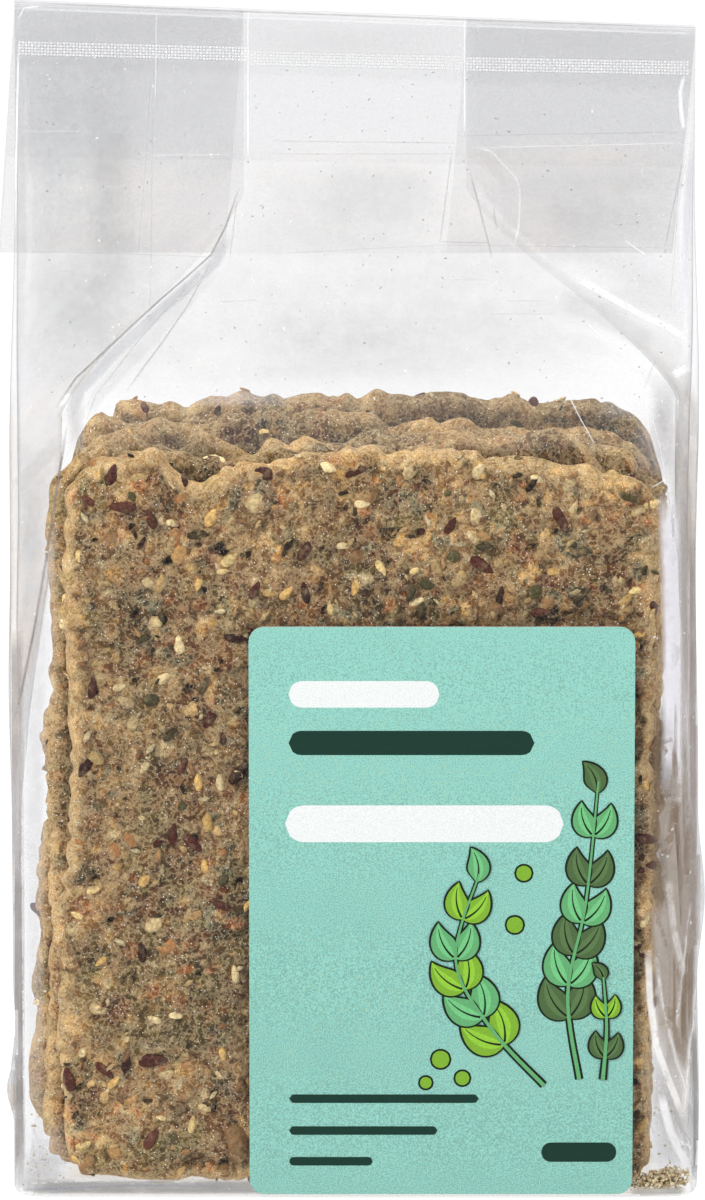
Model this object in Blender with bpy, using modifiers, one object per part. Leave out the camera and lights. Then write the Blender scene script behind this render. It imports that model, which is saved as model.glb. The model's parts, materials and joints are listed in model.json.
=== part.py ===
"""A clear film bag of eight crispbreads with a paper label, standing on its flat base.

The sealed bag is one closed solid out to the film, and the label is a thin sheet on its front.
Metres, +Z up, the label faces -Y, and the origin is the middle of the base.
"""

import math

import bmesh
import bpy
from mathutils import Vector

MM = 0.001

# The bag, stood up and filled
BAG_WIDTH = 116 * MM
HEAD_WIDTH = 113 * MM
BASE_DEPTH = 52 * MM
SHOULDER_DEPTH = 50 * MM
HEAD_THICKNESS = 1.8 * MM
FOLD_HEIGHT = 199.4 * MM
FOLD_SLOPE = -math.tan(math.radians(2.2))
STACK_TOP = 129 * MM
CORNER_RADIUS = 4 * MM
BASE_ROUNDING = 1.1 * MM
LEAST_EDGE = 0.6 * MM

# The heat seal runs across the head, below the fold
SEAL_DROP = 7.6 * MM
SEAL_HEIGHT = 2.6 * MM
SEAL_RELIEF = 0.25 * MM

# The side pleats: a crease that runs in from each side, shallow beside the stack, deep at the head
PLEAT_DEPTH = 38.5 * MM
PLEAT_BESIDE_STACK_LEFT = 8 * MM
PLEAT_BESIDE_STACK_RIGHT = 3 * MM
PLEAT_FROM = 48 * MM
PLEAT_OPENS = 131 * MM
PLEAT_FLAT = 168 * MM
WELD_GAP = 0.8 * MM

# The mouth of the bag, folded over to the back
FLAP_BOTTOM = 156.5 * MM
FLAP_LIFT = 0.9 * MM
FLAP_SUNK = 0.25 * MM
FLAP_LEAN = math.tan(math.radians(4.5))
FLAP_LIP_DROP = 24 * MM

# The label on the front
LABEL_WIDTH = 65 * MM
LABEL_HEIGHT = 98.8 * MM
LABEL_MIDDLE_X = 14.6 * MM
LABEL_BOTTOM = 0.8 * MM
LABEL_CORNER = 2.6 * MM
LABEL_THICKNESS = 0.3 * MM
FILM_GAP = 0.3 * MM
LABEL_STEP = 6.5 * MM

# How finely each side of the bag's outline is divided
FRONT_STEPS = 22
BACK_STEPS = 16
PLEAT_STEPS = 5
CORNER_STEPS = 3
LEVEL_STEP = 4 * MM

# Folds in the film: start and end in width and height, half width of the fold, and how far it stands out
FRONT_FOLDS = (
    ((-45 * MM, 134 * MM), (-20 * MM, 176 * MM), 4 * MM, 1.2 * MM),
    ((22 * MM, 176 * MM), (31 * MM, 152 * MM), 3.5 * MM, 1.4 * MM),
    ((31 * MM, 152 * MM), (54 * MM, 138 * MM), 4 * MM, 1.5 * MM),
    ((-30 * MM, 140 * MM), (24 * MM, 143 * MM), 5 * MM, -0.7 * MM),
    ((40 * MM, 128 * MM), (52 * MM, 112 * MM), 3.5 * MM, 0.9 * MM),
)
BACK_FOLDS = (
    ((-44 * MM, 132 * MM), (-16 * MM, 152 * MM), 4 * MM, 1.1 * MM),
    ((46 * MM, 130 * MM), (18 * MM, 150 * MM), 4 * MM, 1.1 * MM),
    ((-38 * MM, 20 * MM), (-50 * MM, 70 * MM), 4 * MM, -0.8 * MM),
    ((36 * MM, 104 * MM), (50 * MM, 40 * MM), 4 * MM, -0.8 * MM),
)
# Bulges of the sides: height, half height, and how far the film stands out
LEFT_BULGES = ((18 * MM, 6 * MM, 1.2 * MM), (88 * MM, 24 * MM, 0.4 * MM), (28 * MM, 9 * MM, -0.4 * MM))
RIGHT_BULGES = ((52 * MM, 15 * MM, 1.2 * MM), (16 * MM, 24 * MM, 0.5 * MM), (110 * MM, 42 * MM, -0.7 * MM))

FILM_COLOUR = (0.80, 0.81, 0.83, 1)
LABEL_COLOUR = (0.31, 0.65, 0.57, 1)


def clear_scene():
    for thing in list(bpy.data.objects):
        bpy.data.objects.remove(thing)


def make_material(name, colour, roughness, opacity=1.0):
    material = bpy.data.materials.new(name)
    material.use_nodes = True
    shader = material.node_tree.nodes["Principled BSDF"]
    shader.inputs["Base Color"].default_value = colour
    shader.inputs["Roughness"].default_value = roughness
    shader.inputs["Metallic"].default_value = 0
    shader.inputs["Alpha"].default_value = opacity
    return material


def ramp(low, high, value):
    """Straight from 0 at low to 1 at high."""
    return min(1.0, max(0.0, (value - low) / (high - low)))


def smooth(low, high, value):
    """As ramp, with soft ends."""
    share = ramp(low, high, value)
    return share * share * (3 - 2 * share)


def half_width(height):
    return 0.5 * (BAG_WIDTH + (HEAD_WIDTH - BAG_WIDTH) * smooth(STACK_TOP, PLEAT_FLAT, height))


def half_depth(height):
    """Upright beside the stack, then two leaning panels that meet at the seal."""
    body = BASE_DEPTH + (SHOULDER_DEPTH - BASE_DEPTH) * ramp(0, STACK_TOP, height)
    seal_bottom = FOLD_HEIGHT - SEAL_DROP - SEAL_HEIGHT
    closing = 0.7 * ramp(STACK_TOP, seal_bottom, height) + 0.3 * smooth(STACK_TOP, seal_bottom, height)
    return 0.5 * (body + (HEAD_THICKNESS - body) * closing)


def pleat_inset(height, side):
    """How far the crease of a side pleat lies inside the bag's edge. The seal welds it shut."""
    deepest = PLEAT_BESIDE_STACK_RIGHT if side > 0 else PLEAT_BESIDE_STACK_LEFT
    beside = deepest * smooth(PLEAT_FROM, PLEAT_OPENS, height)
    above = PLEAT_DEPTH - deepest
    tucked = 0.6 * ramp(PLEAT_OPENS, PLEAT_FLAT, height) + 0.4 * smooth(PLEAT_OPENS, PLEAT_FLAT, height)
    return beside + above * tucked


def fold_relief(folds, x, height):
    """The rounded ridges of the folds, each fading out towards its ends."""
    here = Vector((x, height))
    relief = 0.0
    for start, end, reach, rise in folds:
        start = Vector(start)
        along = Vector(end) - start
        share = (here - start).dot(along) / along.length_squared
        if not 0 < share < 1:
            continue
        off = (here - start - along * share).length
        relief += rise * math.sin(math.pi * share) * (1 - smooth(0, reach, off))
    return relief


def bulge_relief(bulges, height):
    return sum(rise * (1 - smooth(0, reach, abs(height - middle))) for middle, reach, rise in bulges)


def edge_fade(x, height):
    """Zero at the bag's corners, so that folds and sags leave the edges straight."""
    return smooth(0, 8 * MM, half_width(height) - abs(x))


def seal_relief(height):
    """The heat seal is pressed a little thinner than the head around it."""
    low = FOLD_HEIGHT - SEAL_DROP - SEAL_HEIGHT
    inside = low <= height <= low + SEAL_HEIGHT
    return SEAL_RELIEF if inside else 0.0


def front_y(x, height):
    """The front panel, which the label also follows."""
    relief = fold_relief(FRONT_FOLDS, x, height) * edge_fade(x, height)
    return -half_depth(height) - relief + seal_relief(height)


def back_y(x, height):
    relief = fold_relief(BACK_FOLDS, x, height) * edge_fade(x, height)
    return half_depth(height) + relief - seal_relief(height)


def tilted(x, level):
    """The head was folded a little askew, so its levels slope down to the right."""
    return level + x * FOLD_SLOPE * smooth(STACK_TOP + 20 * MM, FOLD_HEIGHT - 16 * MM, level)


def corner_radius(height):
    slot_room = half_depth(height) - LEAST_EDGE * 0.5
    return min(CORNER_RADIUS, max(slot_room, LEAST_EDGE) * 0.55)


def half_ring(height, side, inset):
    """From the middle of the corner arc in front, along one side pleat, to the corner arc behind."""
    edge = half_width(height)
    edge += bulge_relief(RIGHT_BULGES if side > 0 else LEFT_BULGES, height)
    deep = half_depth(height)
    radius = corner_radius(height)
    crease = edge - inset
    points = []
    for step in range(1, CORNER_STEPS + 1):
        angle = math.radians(90) * step / CORNER_STEPS
        x = edge - radius + radius * math.sin(angle)
        points.append((side * x, -(deep - radius + radius * math.cos(angle))))
    for step in range(1, PLEAT_STEPS + 1):
        share = step / PLEAT_STEPS
        x = edge + (crease - edge) * share
        points.append((side * x, -(deep - radius) * (1 - share)))
    mirrored = [(x, -y) for x, y in reversed(points[:-1])]
    return points + mirrored


def ring(level, left_inset, right_inset):
    """One closed outline of the bag, anticlockwise seen from above, as (x, y, z) points."""
    deep_edge = half_width(level) - corner_radius(level)
    front = [deep_edge * (2 * step / FRONT_STEPS - 1) for step in range(FRONT_STEPS + 1)]
    back = [deep_edge * (1 - 2 * step / BACK_STEPS) for step in range(BACK_STEPS + 1)]
    outline = [(x, front_y(x, level)) for x in front]
    outline += half_ring(level, 1, right_inset)[:-1]
    outline += [(x, back_y(x, level)) for x in back]
    outline += list(reversed(half_ring(level, -1, left_inset)))[1:]
    return [Vector((x, y, tilted(x, level))) for x, y in outline]


def bag_levels():
    """The heights of the outlines, with the insets of the left and right pleat at each."""
    seal_bottom = FOLD_HEIGHT - SEAL_DROP - SEAL_HEIGHT
    seal_top = seal_bottom + SEAL_HEIGHT
    slot_top = seal_bottom - WELD_GAP
    count = round((slot_top - BASE_ROUNDING) / LEVEL_STEP)
    levels = [BASE_ROUNDING + (slot_top - BASE_ROUNDING) * step / count for step in range(count + 1)]
    rows = [(level, pleat_inset(level, -1), pleat_inset(level, 1)) for level in levels]
    welded = LEAST_EDGE * 0.5
    above = (
        seal_bottom - 0.01 * MM,
        seal_bottom + 0.3 * MM,
        seal_top - 0.3 * MM,
        seal_top + 0.01 * MM,
        FOLD_HEIGHT - HEAD_THICKNESS * 0.5,
    )
    return rows + [(level, welded, welded) for level in above]


def scaled_ring(points, share_x, share_y, height):
    return [Vector((p.x * share_x, p.y * share_y, height + p.x * FOLD_SLOPE * (height > STACK_TOP))) for p in points]


def make_bag_body(name):
    """The bag lofted through its outlines, from the flat base to the rounded fold."""
    rows = [ring(*level) for level in bag_levels()]
    base_inset = 1 - BASE_ROUNDING / (0.5 * BASE_DEPTH)
    base = scaled_ring(rows[0], 1 - BASE_ROUNDING / (0.5 * BAG_WIDTH), base_inset, 0.0)
    fold = scaled_ring(rows[-1], 1.0, 0.5, FOLD_HEIGHT)
    rows = [base] + rows + [fold]
    shape = bmesh.new()
    loops = [[shape.verts.new(point) for point in row] for row in rows]
    for lower, upper in zip(loops, loops[1:]):
        for place in range(len(lower)):
            after = (place + 1) % len(lower)
            shape.faces.new((lower[place], lower[after], upper[after], upper[place]))
    shape.faces.new(list(reversed(loops[0])))
    shape.faces.new(loops[-1])
    return finish_mesh(shape, name)


def make_flap(name):
    """The folded mouth, lying down the back of the head, with its shorter lip as a step."""
    columns, rows = 16, 12
    shape = bmesh.new()
    bmesh.ops.create_grid(shape, x_segments=columns, y_segments=rows, size=0.5)
    for vertex in shape.verts:
        down = 0.5 - vertex.co.y
        x = vertex.co.x * HEAD_WIDTH
        top = FOLD_HEIGHT + x * FOLD_SLOPE - 0.3 * MM
        height = top + (FLAP_BOTTOM - top) * down
        x -= (top - height) * FLAP_LEAN
        level = height - x * FOLD_SLOPE * smooth(STACK_TOP + 20 * MM, FOLD_HEIGHT - 16 * MM, height)
        vertex.co = (x, half_depth(min(level, FOLD_HEIGHT)) - FLAP_SUNK, height)
    bmesh.ops.recalc_face_normals(shape, faces=shape.faces)
    lower = list(shape.faces)
    made = bmesh.ops.extrude_face_region(shape, geom=lower)
    for vertex in (item for item in made["geom"] if isinstance(item, bmesh.types.BMVert)):
        lip = smooth(FLAP_LIP_DROP - 1 * MM, FLAP_LIP_DROP + 1 * MM, FOLD_HEIGHT - vertex.co.z)
        vertex.co.y += FLAP_SUNK + FLAP_LIFT * (1 - 0.4 * lip)
    bmesh.ops.recalc_face_normals(shape, faces=shape.faces)
    return finish_mesh(shape, name)


def finish_mesh(shape, name):
    """Turns a bmesh into an object whose faces point outwards."""
    bmesh.ops.recalc_face_normals(shape, faces=shape.faces)
    mesh = bpy.data.meshes.new(name)
    shape.to_mesh(mesh)
    shape.free()
    made = bpy.data.objects.new(name, mesh)
    bpy.context.scene.collection.objects.link(made)
    return made


def fuse(body, other):
    """Joins other into body by a Boolean union and removes it."""
    union = body.modifiers.new("Union", "BOOLEAN")
    union.operation = "UNION"
    union.object = other
    joined = bpy.data.meshes.new_from_object(body.evaluated_get(bpy.context.evaluated_depsgraph_get()))
    body.modifiers.clear()
    body.data = joined
    bpy.data.objects.remove(other)
    return body


def make_bag(film):
    bag = fuse(make_bag_body("bag"), make_flap("flap"))
    bag.data.materials.clear()
    bag.data.materials.append(film)
    bag.data.shade_smooth()
    bag.data.set_sharp_from_angle(angle=math.radians(30))
    return bag


def make_label(paper):
    """A paper sheet with round corners that follows the front panel."""
    shape = bmesh.new()
    bmesh.ops.create_grid(shape, x_segments=1, y_segments=1, size=0.5)
    bmesh.ops.scale(shape, vec=(LABEL_WIDTH, LABEL_HEIGHT, 1), verts=shape.verts)
    bmesh.ops.bevel(
        shape, geom=shape.verts[:], offset=LABEL_CORNER, segments=5, profile=0.5, affect="VERTICES", material=-1
    )
    for axis, length in ((Vector((1, 0, 0)), LABEL_WIDTH), (Vector((0, 1, 0)), LABEL_HEIGHT)):
        cuts = round(length / LABEL_STEP)
        for cut in range(1, cuts):
            place = axis * length * (cut / cuts - 0.5)
            everything = shape.verts[:] + shape.edges[:] + shape.faces[:]
            bmesh.ops.bisect_plane(shape, geom=everything, plane_co=place, plane_no=axis, dist=0.01 * MM)
    middle_height = LABEL_BOTTOM + 0.5 * LABEL_HEIGHT
    for vertex in shape.verts:
        x = vertex.co.x + LABEL_MIDDLE_X
        height = vertex.co.y + middle_height
        vertex.co = (x, front_y(x, height) - FILM_GAP, height)
    sheet = finish_mesh(shape, "label")
    facing = sum(face.normal.y for face in sheet.data.polygons)
    thickness = sheet.modifiers.new("Thickness", "SOLIDIFY")
    thickness.thickness = LABEL_THICKNESS
    thickness.offset = 1 if facing < 0 else -1
    sheet.data.materials.append(paper)
    return sheet


def main():
    clear_scene()
    pack = bpy.data.collections.new("crispbread_pack")
    bpy.context.scene.collection.children.link(pack)
    film = make_material("clear_film", FILM_COLOUR, 0.12, opacity=0.45)
    paper = make_material("label_paper", LABEL_COLOUR, 0.45)
    for made in (make_bag(film), make_label(paper)):
        bpy.context.scene.collection.objects.unlink(made)
        pack.objects.link(made)


main()
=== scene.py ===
"""A clear film bag of seeded crispbread with a mint label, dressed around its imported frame.

Run as a script in Blender 4.5. Metres, +Z up, and the label faces -Y.
"""

import json
import math

import bmesh
import bpy
import numpy as np
from bpy.props import FloatProperty, FloatVectorProperty, PointerProperty
from mathutils import Matrix, Vector
from mathutils.bvhtree import BVHTree

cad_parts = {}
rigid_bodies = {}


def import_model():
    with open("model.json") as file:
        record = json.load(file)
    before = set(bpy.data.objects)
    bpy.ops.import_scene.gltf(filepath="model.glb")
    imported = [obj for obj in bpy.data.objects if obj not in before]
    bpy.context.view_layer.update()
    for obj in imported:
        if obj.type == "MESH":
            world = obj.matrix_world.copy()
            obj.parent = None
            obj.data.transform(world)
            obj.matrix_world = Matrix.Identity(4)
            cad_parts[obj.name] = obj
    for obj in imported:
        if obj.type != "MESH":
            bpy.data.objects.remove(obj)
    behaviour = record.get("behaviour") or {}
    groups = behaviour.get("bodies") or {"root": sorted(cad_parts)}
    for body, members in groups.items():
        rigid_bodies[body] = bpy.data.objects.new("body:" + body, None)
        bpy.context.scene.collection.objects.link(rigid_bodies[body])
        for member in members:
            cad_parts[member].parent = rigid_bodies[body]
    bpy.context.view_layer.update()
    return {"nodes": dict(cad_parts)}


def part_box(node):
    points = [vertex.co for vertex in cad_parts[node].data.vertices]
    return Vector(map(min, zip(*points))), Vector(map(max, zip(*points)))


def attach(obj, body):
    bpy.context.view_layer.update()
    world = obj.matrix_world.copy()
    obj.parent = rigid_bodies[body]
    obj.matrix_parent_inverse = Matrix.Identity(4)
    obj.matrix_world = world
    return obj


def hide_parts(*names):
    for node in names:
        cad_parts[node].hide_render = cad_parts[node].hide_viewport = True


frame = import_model()
LABEL_LOW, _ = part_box("label")

bl_info = {
    "name": "Crispbread Bag",
    "version": (1, 0, 0),
    "blender": (4, 5, 0),
    "location": "3D View > Sidebar > Crispbread",
    "description": "Builds a clear bag of seeded crispbread",
    "category": "Object",
}

MM = 0.001

# The bag's form, as its solid has it
BASE_DEPTH = 52 * MM
SHOULDER_DEPTH = 50 * MM
BAG_WIDTH = 116 * MM
HEAD_WIDTH = 114.6 * MM
STACK_TOP = 129 * MM
FOLD_HEIGHT = 199.4 * MM
FOLD_SLOPE = -math.tan(math.radians(2.2))
SEAL_TOP = FOLD_HEIGHT - 7.6 * MM
SEAL_HEIGHT = 2.6 * MM
PLEAT_DEPTH = 38.5 * MM
FLAP_BOTTOM = 155.4 * MM
FLAP_LEAN = math.tan(math.radians(4.5))

# The camera looks at the label from a little above
CAMERA_RISE = math.radians(13)
CAMERA_DISTANCE = 1.8
CAMERA_LENS = 317
SENSOR_HEIGHT = 36
CAMERA_TARGET = Vector((-0.43 * MM, 0, 98.3 * MM))
CAMERA_OUTWARDS = Vector((0, -math.cos(CAMERA_RISE), math.sin(CAMERA_RISE)))
FRAME_WIDTH = 705
FRAME_HEIGHT = 1200
PIXELS_PER_MM = 5.87

# The random lattice of soft_noise repeats after so many cells
LATTICE = 61


def ramp(low, high, value):
    """Straight from 0 at low to 1 at high."""
    return np.clip((value - low) / (high - low), 0.0, 1.0)


def smooth(low, high, value):
    """As ramp, with soft ends."""
    share = ramp(low, high, value)
    return share * share * (3 - 2 * share)


def soft_noise(across, up, size, seed):
    """Random values from -1 to 1 that change softly over about size."""
    lattice = np.random.default_rng(seed).uniform(-1, 1, (LATTICE, LATTICE))
    column, row = np.asarray(across) / size, np.asarray(up) / size
    left, low = np.floor(column).astype(int), np.floor(row).astype(int)
    right_share, high_share = column - left, row - low
    right_share = right_share * right_share * (3 - 2 * right_share)
    high_share = high_share * high_share * (3 - 2 * high_share)
    total = 0.0
    for step_x, share_x in ((0, 1 - right_share), (1, right_share)):
        for step_z, share_z in ((0, 1 - high_share), (1, high_share)):
            total = total + lattice[(left + step_x) % LATTICE, (low + step_z) % LATTICE] * share_x * share_z
    return total


class Value:
    """A socket of a shader that takes part in sums, each of which adds a Math node."""

    def __init__(self, shader, socket):
        self.shader = shader
        self.socket = socket

    def maths(self, operation, *others):
        node = self.shader.node("ShaderNodeMath", {"operation": operation}, dict(enumerate((self, *others))))
        return Value(self.shader, node.outputs[0])

    def __add__(self, other):
        return self.maths("ADD", other)

    __radd__ = __add__

    def __mul__(self, other):
        return self.maths("MULTIPLY", other)

    __rmul__ = __mul__

    def __sub__(self, other):
        return self.maths("SUBTRACT", other)

    def __rsub__(self, other):
        return (self * -1) + other

    def __pow__(self, power):
        return self.maths("POWER", power)

    def most(self, other):
        return self.maths("MAXIMUM", other)

    def least(self, other):
        return self.maths("MINIMUM", other)

    def between(self, low, high):
        """From 0 at low to 1 at high, with soft ends."""
        limits = {"Value": self, "From Min": low, "From Max": high}
        made = self.shader.node("ShaderNodeMapRange", {"interpolation_type": "SMOOTHSTEP"}, limits)
        return Value(self.shader, made.outputs["Result"])


class Shader:
    """The node tree of a material or of a world, with one way to add any node."""

    def __init__(self, owner, output="ShaderNodeOutputMaterial"):
        self.owner = owner
        owner.use_nodes = True
        self.nodes = owner.node_tree.nodes
        self.nodes.clear()
        self.output = self.nodes.new(output)

    def feed(self, socket, value):
        if isinstance(value, Value):
            value = value.socket
        if isinstance(value, bpy.types.Node):
            value = value.outputs[0]
        if isinstance(value, bpy.types.NodeSocket):
            self.owner.node_tree.links.new(value, socket)
        else:
            socket.default_value = value

    def node(self, kind, settings=None, inputs=None):
        """Adds a node: its settings first, then the values or links of its sockets."""
        made = self.nodes.new(kind)
        for name, value in (settings or {}).items():
            setattr(made, name, value)
        for name, value in (inputs or {}).items():
            self.feed(made.inputs[name], value)
        return made

    def place(self, scale=(1, 1, 1)):
        """Coordinates on the piece, which sits at the origin, with each axis scaled."""
        where = self.node("ShaderNodeTexCoord").outputs["Object"]
        return self.node("ShaderNodeMapping", None, {"Vector": where, "Scale": scale}).outputs[0]

    def axis(self, vector, name):
        """One part, X, Y or Z, of a vector."""
        return Value(self, self.node("ShaderNodeSeparateXYZ", None, {0: vector}).outputs[name])

    def texture(self, kind, size, detail, roughness, place=None):
        """The node of a fractal or cell texture, with features of about size metres."""
        inputs = {"Vector": place or self.place(), "Scale": 1 / size}
        return self.node(kind, None, {**inputs, "Detail": detail, "Roughness": roughness})

    def noise(self, size, detail, roughness, place=None):
        """Fractal noise about 0.5, with features of about size metres."""
        return Value(self, self.texture("ShaderNodeTexNoise", size, detail, roughness, place).outputs["Fac"])

    def colours(self, share, *stops):
        """Colours along a share from 0 to 1; each stop is (place, colour)."""
        made = self.node("ShaderNodeValToRGB", None, {"Fac": share})
        elements = made.color_ramp.elements
        while len(elements) < len(stops):
            elements.new(0.5)
        for element, (at, colour) in zip(elements, stops):
            element.position = at
            element.color = (*colour, 1)
        return made.outputs["Color"]

    def blend(self, first, second, share, how="MIX"):
        """Two colours mixed by share."""
        made = self.node("ShaderNodeMix", {"data_type": "RGBA", "blend_type": how})
        for place, value in ((0, share), (6, first), (7, second)):
            if isinstance(value, tuple) and len(value) == 3:
                value = (*value, 1)
            self.feed(made.inputs[place], value)
        return made.outputs[2]

    def tint(self):
        """The colour and the opacity that each point of the mesh carries."""
        made = self.node("ShaderNodeAttribute", {"attribute_name": "tint"})
        return made.outputs["Color"], Value(self, made.outputs["Alpha"])

    def bump(self, height, depth, strength=1.0):
        """A normal from a height of 0 to 1, which stands for depth metres."""
        return self.node("ShaderNodeBump", None, {"Height": height, "Distance": depth, "Strength": strength})

    def finish(self, surface):
        self.feed(self.output.inputs["Surface"], surface)
        return self.owner

    def principled(self, inputs):
        """The material, finished with a Principled BSDF as its surface."""
        return self.finish(self.node("ShaderNodeBsdfPrincipled", None, inputs))


def material_shader(name):
    return Shader(bpy.data.materials.new(name))


def linear(red, green, blue):
    """An sRGB colour, 0 to 255, as the linear numbers that a shader takes."""
    shares = (red / 255, green / 255, blue / 255)
    return tuple(share / 12.92 if share <= 0.04045 else ((share + 0.055) / 1.055) ** 2.4 for share in shares)


def mesh_of(shape, name):
    """Turns a bmesh into a mesh."""
    mesh = bpy.data.meshes.new(name)
    shape.to_mesh(mesh)
    shape.free()
    return mesh


def finish_piece(shape, name, material):
    """Turns a bmesh into an object at the origin that rides on the pack."""
    return place_piece(mesh_of(shape, name), name, material)


def place_piece(mesh, name, material):
    mesh.materials.append(material)
    mesh.shade_smooth()
    piece = bpy.data.objects.new(name, mesh)
    bpy.context.scene.collection.objects.link(piece)
    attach(piece, "root")
    return piece


def joined_copies(shape, copies, name, material):
    """One piece of many copies of a small shape; copies lists the matrix and the colour of each."""
    base = mesh_of(shape, name)
    points = np.empty(len(base.vertices) * 3)
    base.vertices.foreach_get("co", points)
    points = np.column_stack([points.reshape(-1, 3), np.ones(len(base.vertices))])
    tint = base.attributes.new("tint", "FLOAT_COLOR", "POINT")
    whole = bmesh.new()
    for matrix, colour in copies:
        base.vertices.foreach_set("co", (points @ np.array(matrix).T)[:, :3].ravel())
        # A colour without its own opacity is opaque
        tint.data.foreach_set("color", np.tile([*colour, 1][:4], len(points)))
        whole.from_mesh(base)
    bpy.data.meshes.remove(base)
    return finish_piece(whole, name, material)


# The film bag


def half_depth(level):
    """Upright beside the stack, then two leaning panels that meet at the seal."""
    body = BASE_DEPTH + (SHOULDER_DEPTH - BASE_DEPTH) * ramp(0, STACK_TOP, level)
    seal_bottom = SEAL_TOP - SEAL_HEIGHT
    closing = 0.7 * ramp(STACK_TOP, seal_bottom, level) + 0.3 * smooth(STACK_TOP, seal_bottom, level)
    return 0.5 * (body + (1.0 * MM - body) * closing)


def half_width(level):
    return 0.5 * (BAG_WIDTH + (HEAD_WIDTH - BAG_WIDTH) * smooth(STACK_TOP, 172 * MM, level))


# How the bag's edge swells on the left and on the right: middle height, reach and rise in millimetres
SWELLS = {
    -1: ((18, 6, 1.2), (88, 24, 0.4), (28, 9, -0.4)),
    1: ((52, 15, 1.2), (16, 24, 0.5), (110, 42, -0.7)),
}


def side_edge(level, side):
    """How far the bag reaches to one side: blisters low on the left, a soft belly on the right."""
    edge = half_width(level)
    for middle, reach, rise in SWELLS[side]:
        edge = edge + rise * MM * (1 - smooth(0, reach * MM, np.abs(level - middle * MM)))
    return edge


def pleat_inset(level, side):
    """How far the crease of a side pleat lies inside the bag's edge."""
    deepest = (3 if side > 0 else 8) * MM
    opens, flat = (134 * MM, 170 * MM) if side > 0 else (131 * MM, 168 * MM)
    beside = deepest * smooth(48 * MM, opens, level)
    tucked = 0.6 * ramp(opens, flat, level) + 0.4 * smooth(opens, flat, level)
    return 0.3 * MM + beside + (PLEAT_DEPTH - deepest - 0.3 * MM) * tucked


def crease_ridge(x, z, start, end, reach, rise, sharp):
    """The ridge of a fold from start to end, in millimetres, fading out at its ends."""
    (x0, z0), (x1, z1) = np.array((start, end)) * MM
    length = math.hypot(x1 - x0, z1 - z0)
    along = ((x - x0) * (x1 - x0) + (z - z0) * (z1 - z0)) / length**2
    off = np.abs((x - x0) * (z1 - z0) - (z - z0) * (x1 - x0)) / length
    profile = (1 - ramp(0, reach * MM, off)) ** sharp
    return rise * MM * profile * np.sin(np.pi * np.clip(along, 0, 1)) ** 0.6


# Folds in the front and back panels: start, end, half width, rise in millimetres, and sharpness
FRONT_FOLDS = (
    ((-45, 134), (-20, 176), 4, 0.9, 1.6), ((20, 177), (28, 168), 3.0, 0.9, 1.2),
    ((28, 168), (28, 156), 2.6, 0.8, 1.2), ((30, 152), (46, 146), 5, 1.3, 1.5),
    ((44, 147), (58, 138), 3.6, 1.3, 1.3), ((37, 133), (42, 122), 2.2, 0.9, 1.0),
    ((-30, 143), (24, 146), 6, -0.6, 2.0), ((-50, 120), (-57, 104), 3.2, 0.6, 1.4),
    ((50, 118), (53, 96), 2.6, 0.5, 1.4), ((52, 30), (57, 4), 3.5, 0.8, 1.2),
)
BACK_FOLDS = (
    ((-44, 132), (-16, 152), 4, 1.0, 1.4), ((46, 130), (18, 150), 4, 1.0, 1.4),
    ((-38, 20), (-50, 70), 4, -0.7, 1.6), ((36, 104), (50, 40), 4, -0.7, 1.6),
    ((-20, 128), (10, 124), 3, 0.5, 1.4),
)


def panel_relief(x, z, folds, seed):
    """The folds and the faint waves of a panel."""
    relief = 0.0
    for fold in folds:
        relief = relief + crease_ridge(x, z, *fold)
    slack = smooth(STACK_TOP - 10 * MM, STACK_TOP + 25 * MM, z) * (1 - smooth(176 * MM, 190 * MM, z))
    relief = relief + slack * 0.35 * MM * soft_noise(x, z, 13 * MM, seed)
    relief = relief + (0.1 + 0.12 * slack) * MM * soft_noise(x, z, 5 * MM, seed + 1)
    return relief * smooth(0, 7 * MM, half_width(z) - np.abs(x))


def corner_radius(level):
    return np.minimum(4 * MM, np.maximum(half_depth(level), 0.4 * MM) * 0.55)


def side_columns(level, side):
    """Across one side pleat, from the front corner almost to the back one, as x and y for each column."""
    deep, radius, edge = half_depth(level), corner_radius(level), side_edge(level, side)
    crease = edge - pleat_inset(level, side)
    across, back = [], []
    for turn in (0.25, 0.5, 0.75, 1.0):
        angle = math.radians(90) * turn
        across.append(edge - radius + radius * math.sin(angle))
        back.append(-(deep - radius + radius * math.cos(angle)))
    for step in range(1, PLEAT_STEPS + 1):
        share = step / PLEAT_STEPS
        y = -(deep - radius) * (1 - share) - 0.12 * MM * share
        slack = (0.5 + 0.5 * smooth(100 * MM, 140 * MM, level)) * math.sin(math.pi * share)
        ripple = slack * 0.55 * MM * soft_noise(y + side * 0.3, level, 9 * MM, 21)
        ripple = ripple + slack * 0.25 * MM * soft_noise(y + side * 0.3, level, 3.6 * MM, 22)
        across.append(edge + (crease - edge) * share + ripple * (1 - smooth(150 * MM, 175 * MM, level)))
        back.append(y)
    # The back half mirrors the front half
    across += across[:0:-1]
    back += [-y for y in back[:0:-1]]
    return [side * x for x in across], back


def make_base_folds(film):
    """The block bottom: the film's ends folded over each other and welded inside."""
    shape = bmesh.new()
    for height, width, low, high in ((0.35, 112, -24.5, 9), (0.6, 112, -7, 24.5), (0.8, 60, -12, 12)):
        made = bmesh.ops.create_grid(shape, x_segments=40, y_segments=14, size=0.5)
        for vertex in made["verts"]:
            x, y = vertex.co.x * width, low + (high - low) * (vertex.co.y + 0.5)
            ripple = 0.12 * float(soft_noise(x, y, 7, int(height * 100)))
            vertex.co = (x * MM, y * MM, (height + ripple) * MM)
    bmesh.ops.recalc_face_normals(shape, faces=shape.faces)
    return finish_piece(shape, "film_base_folds", film)


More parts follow.
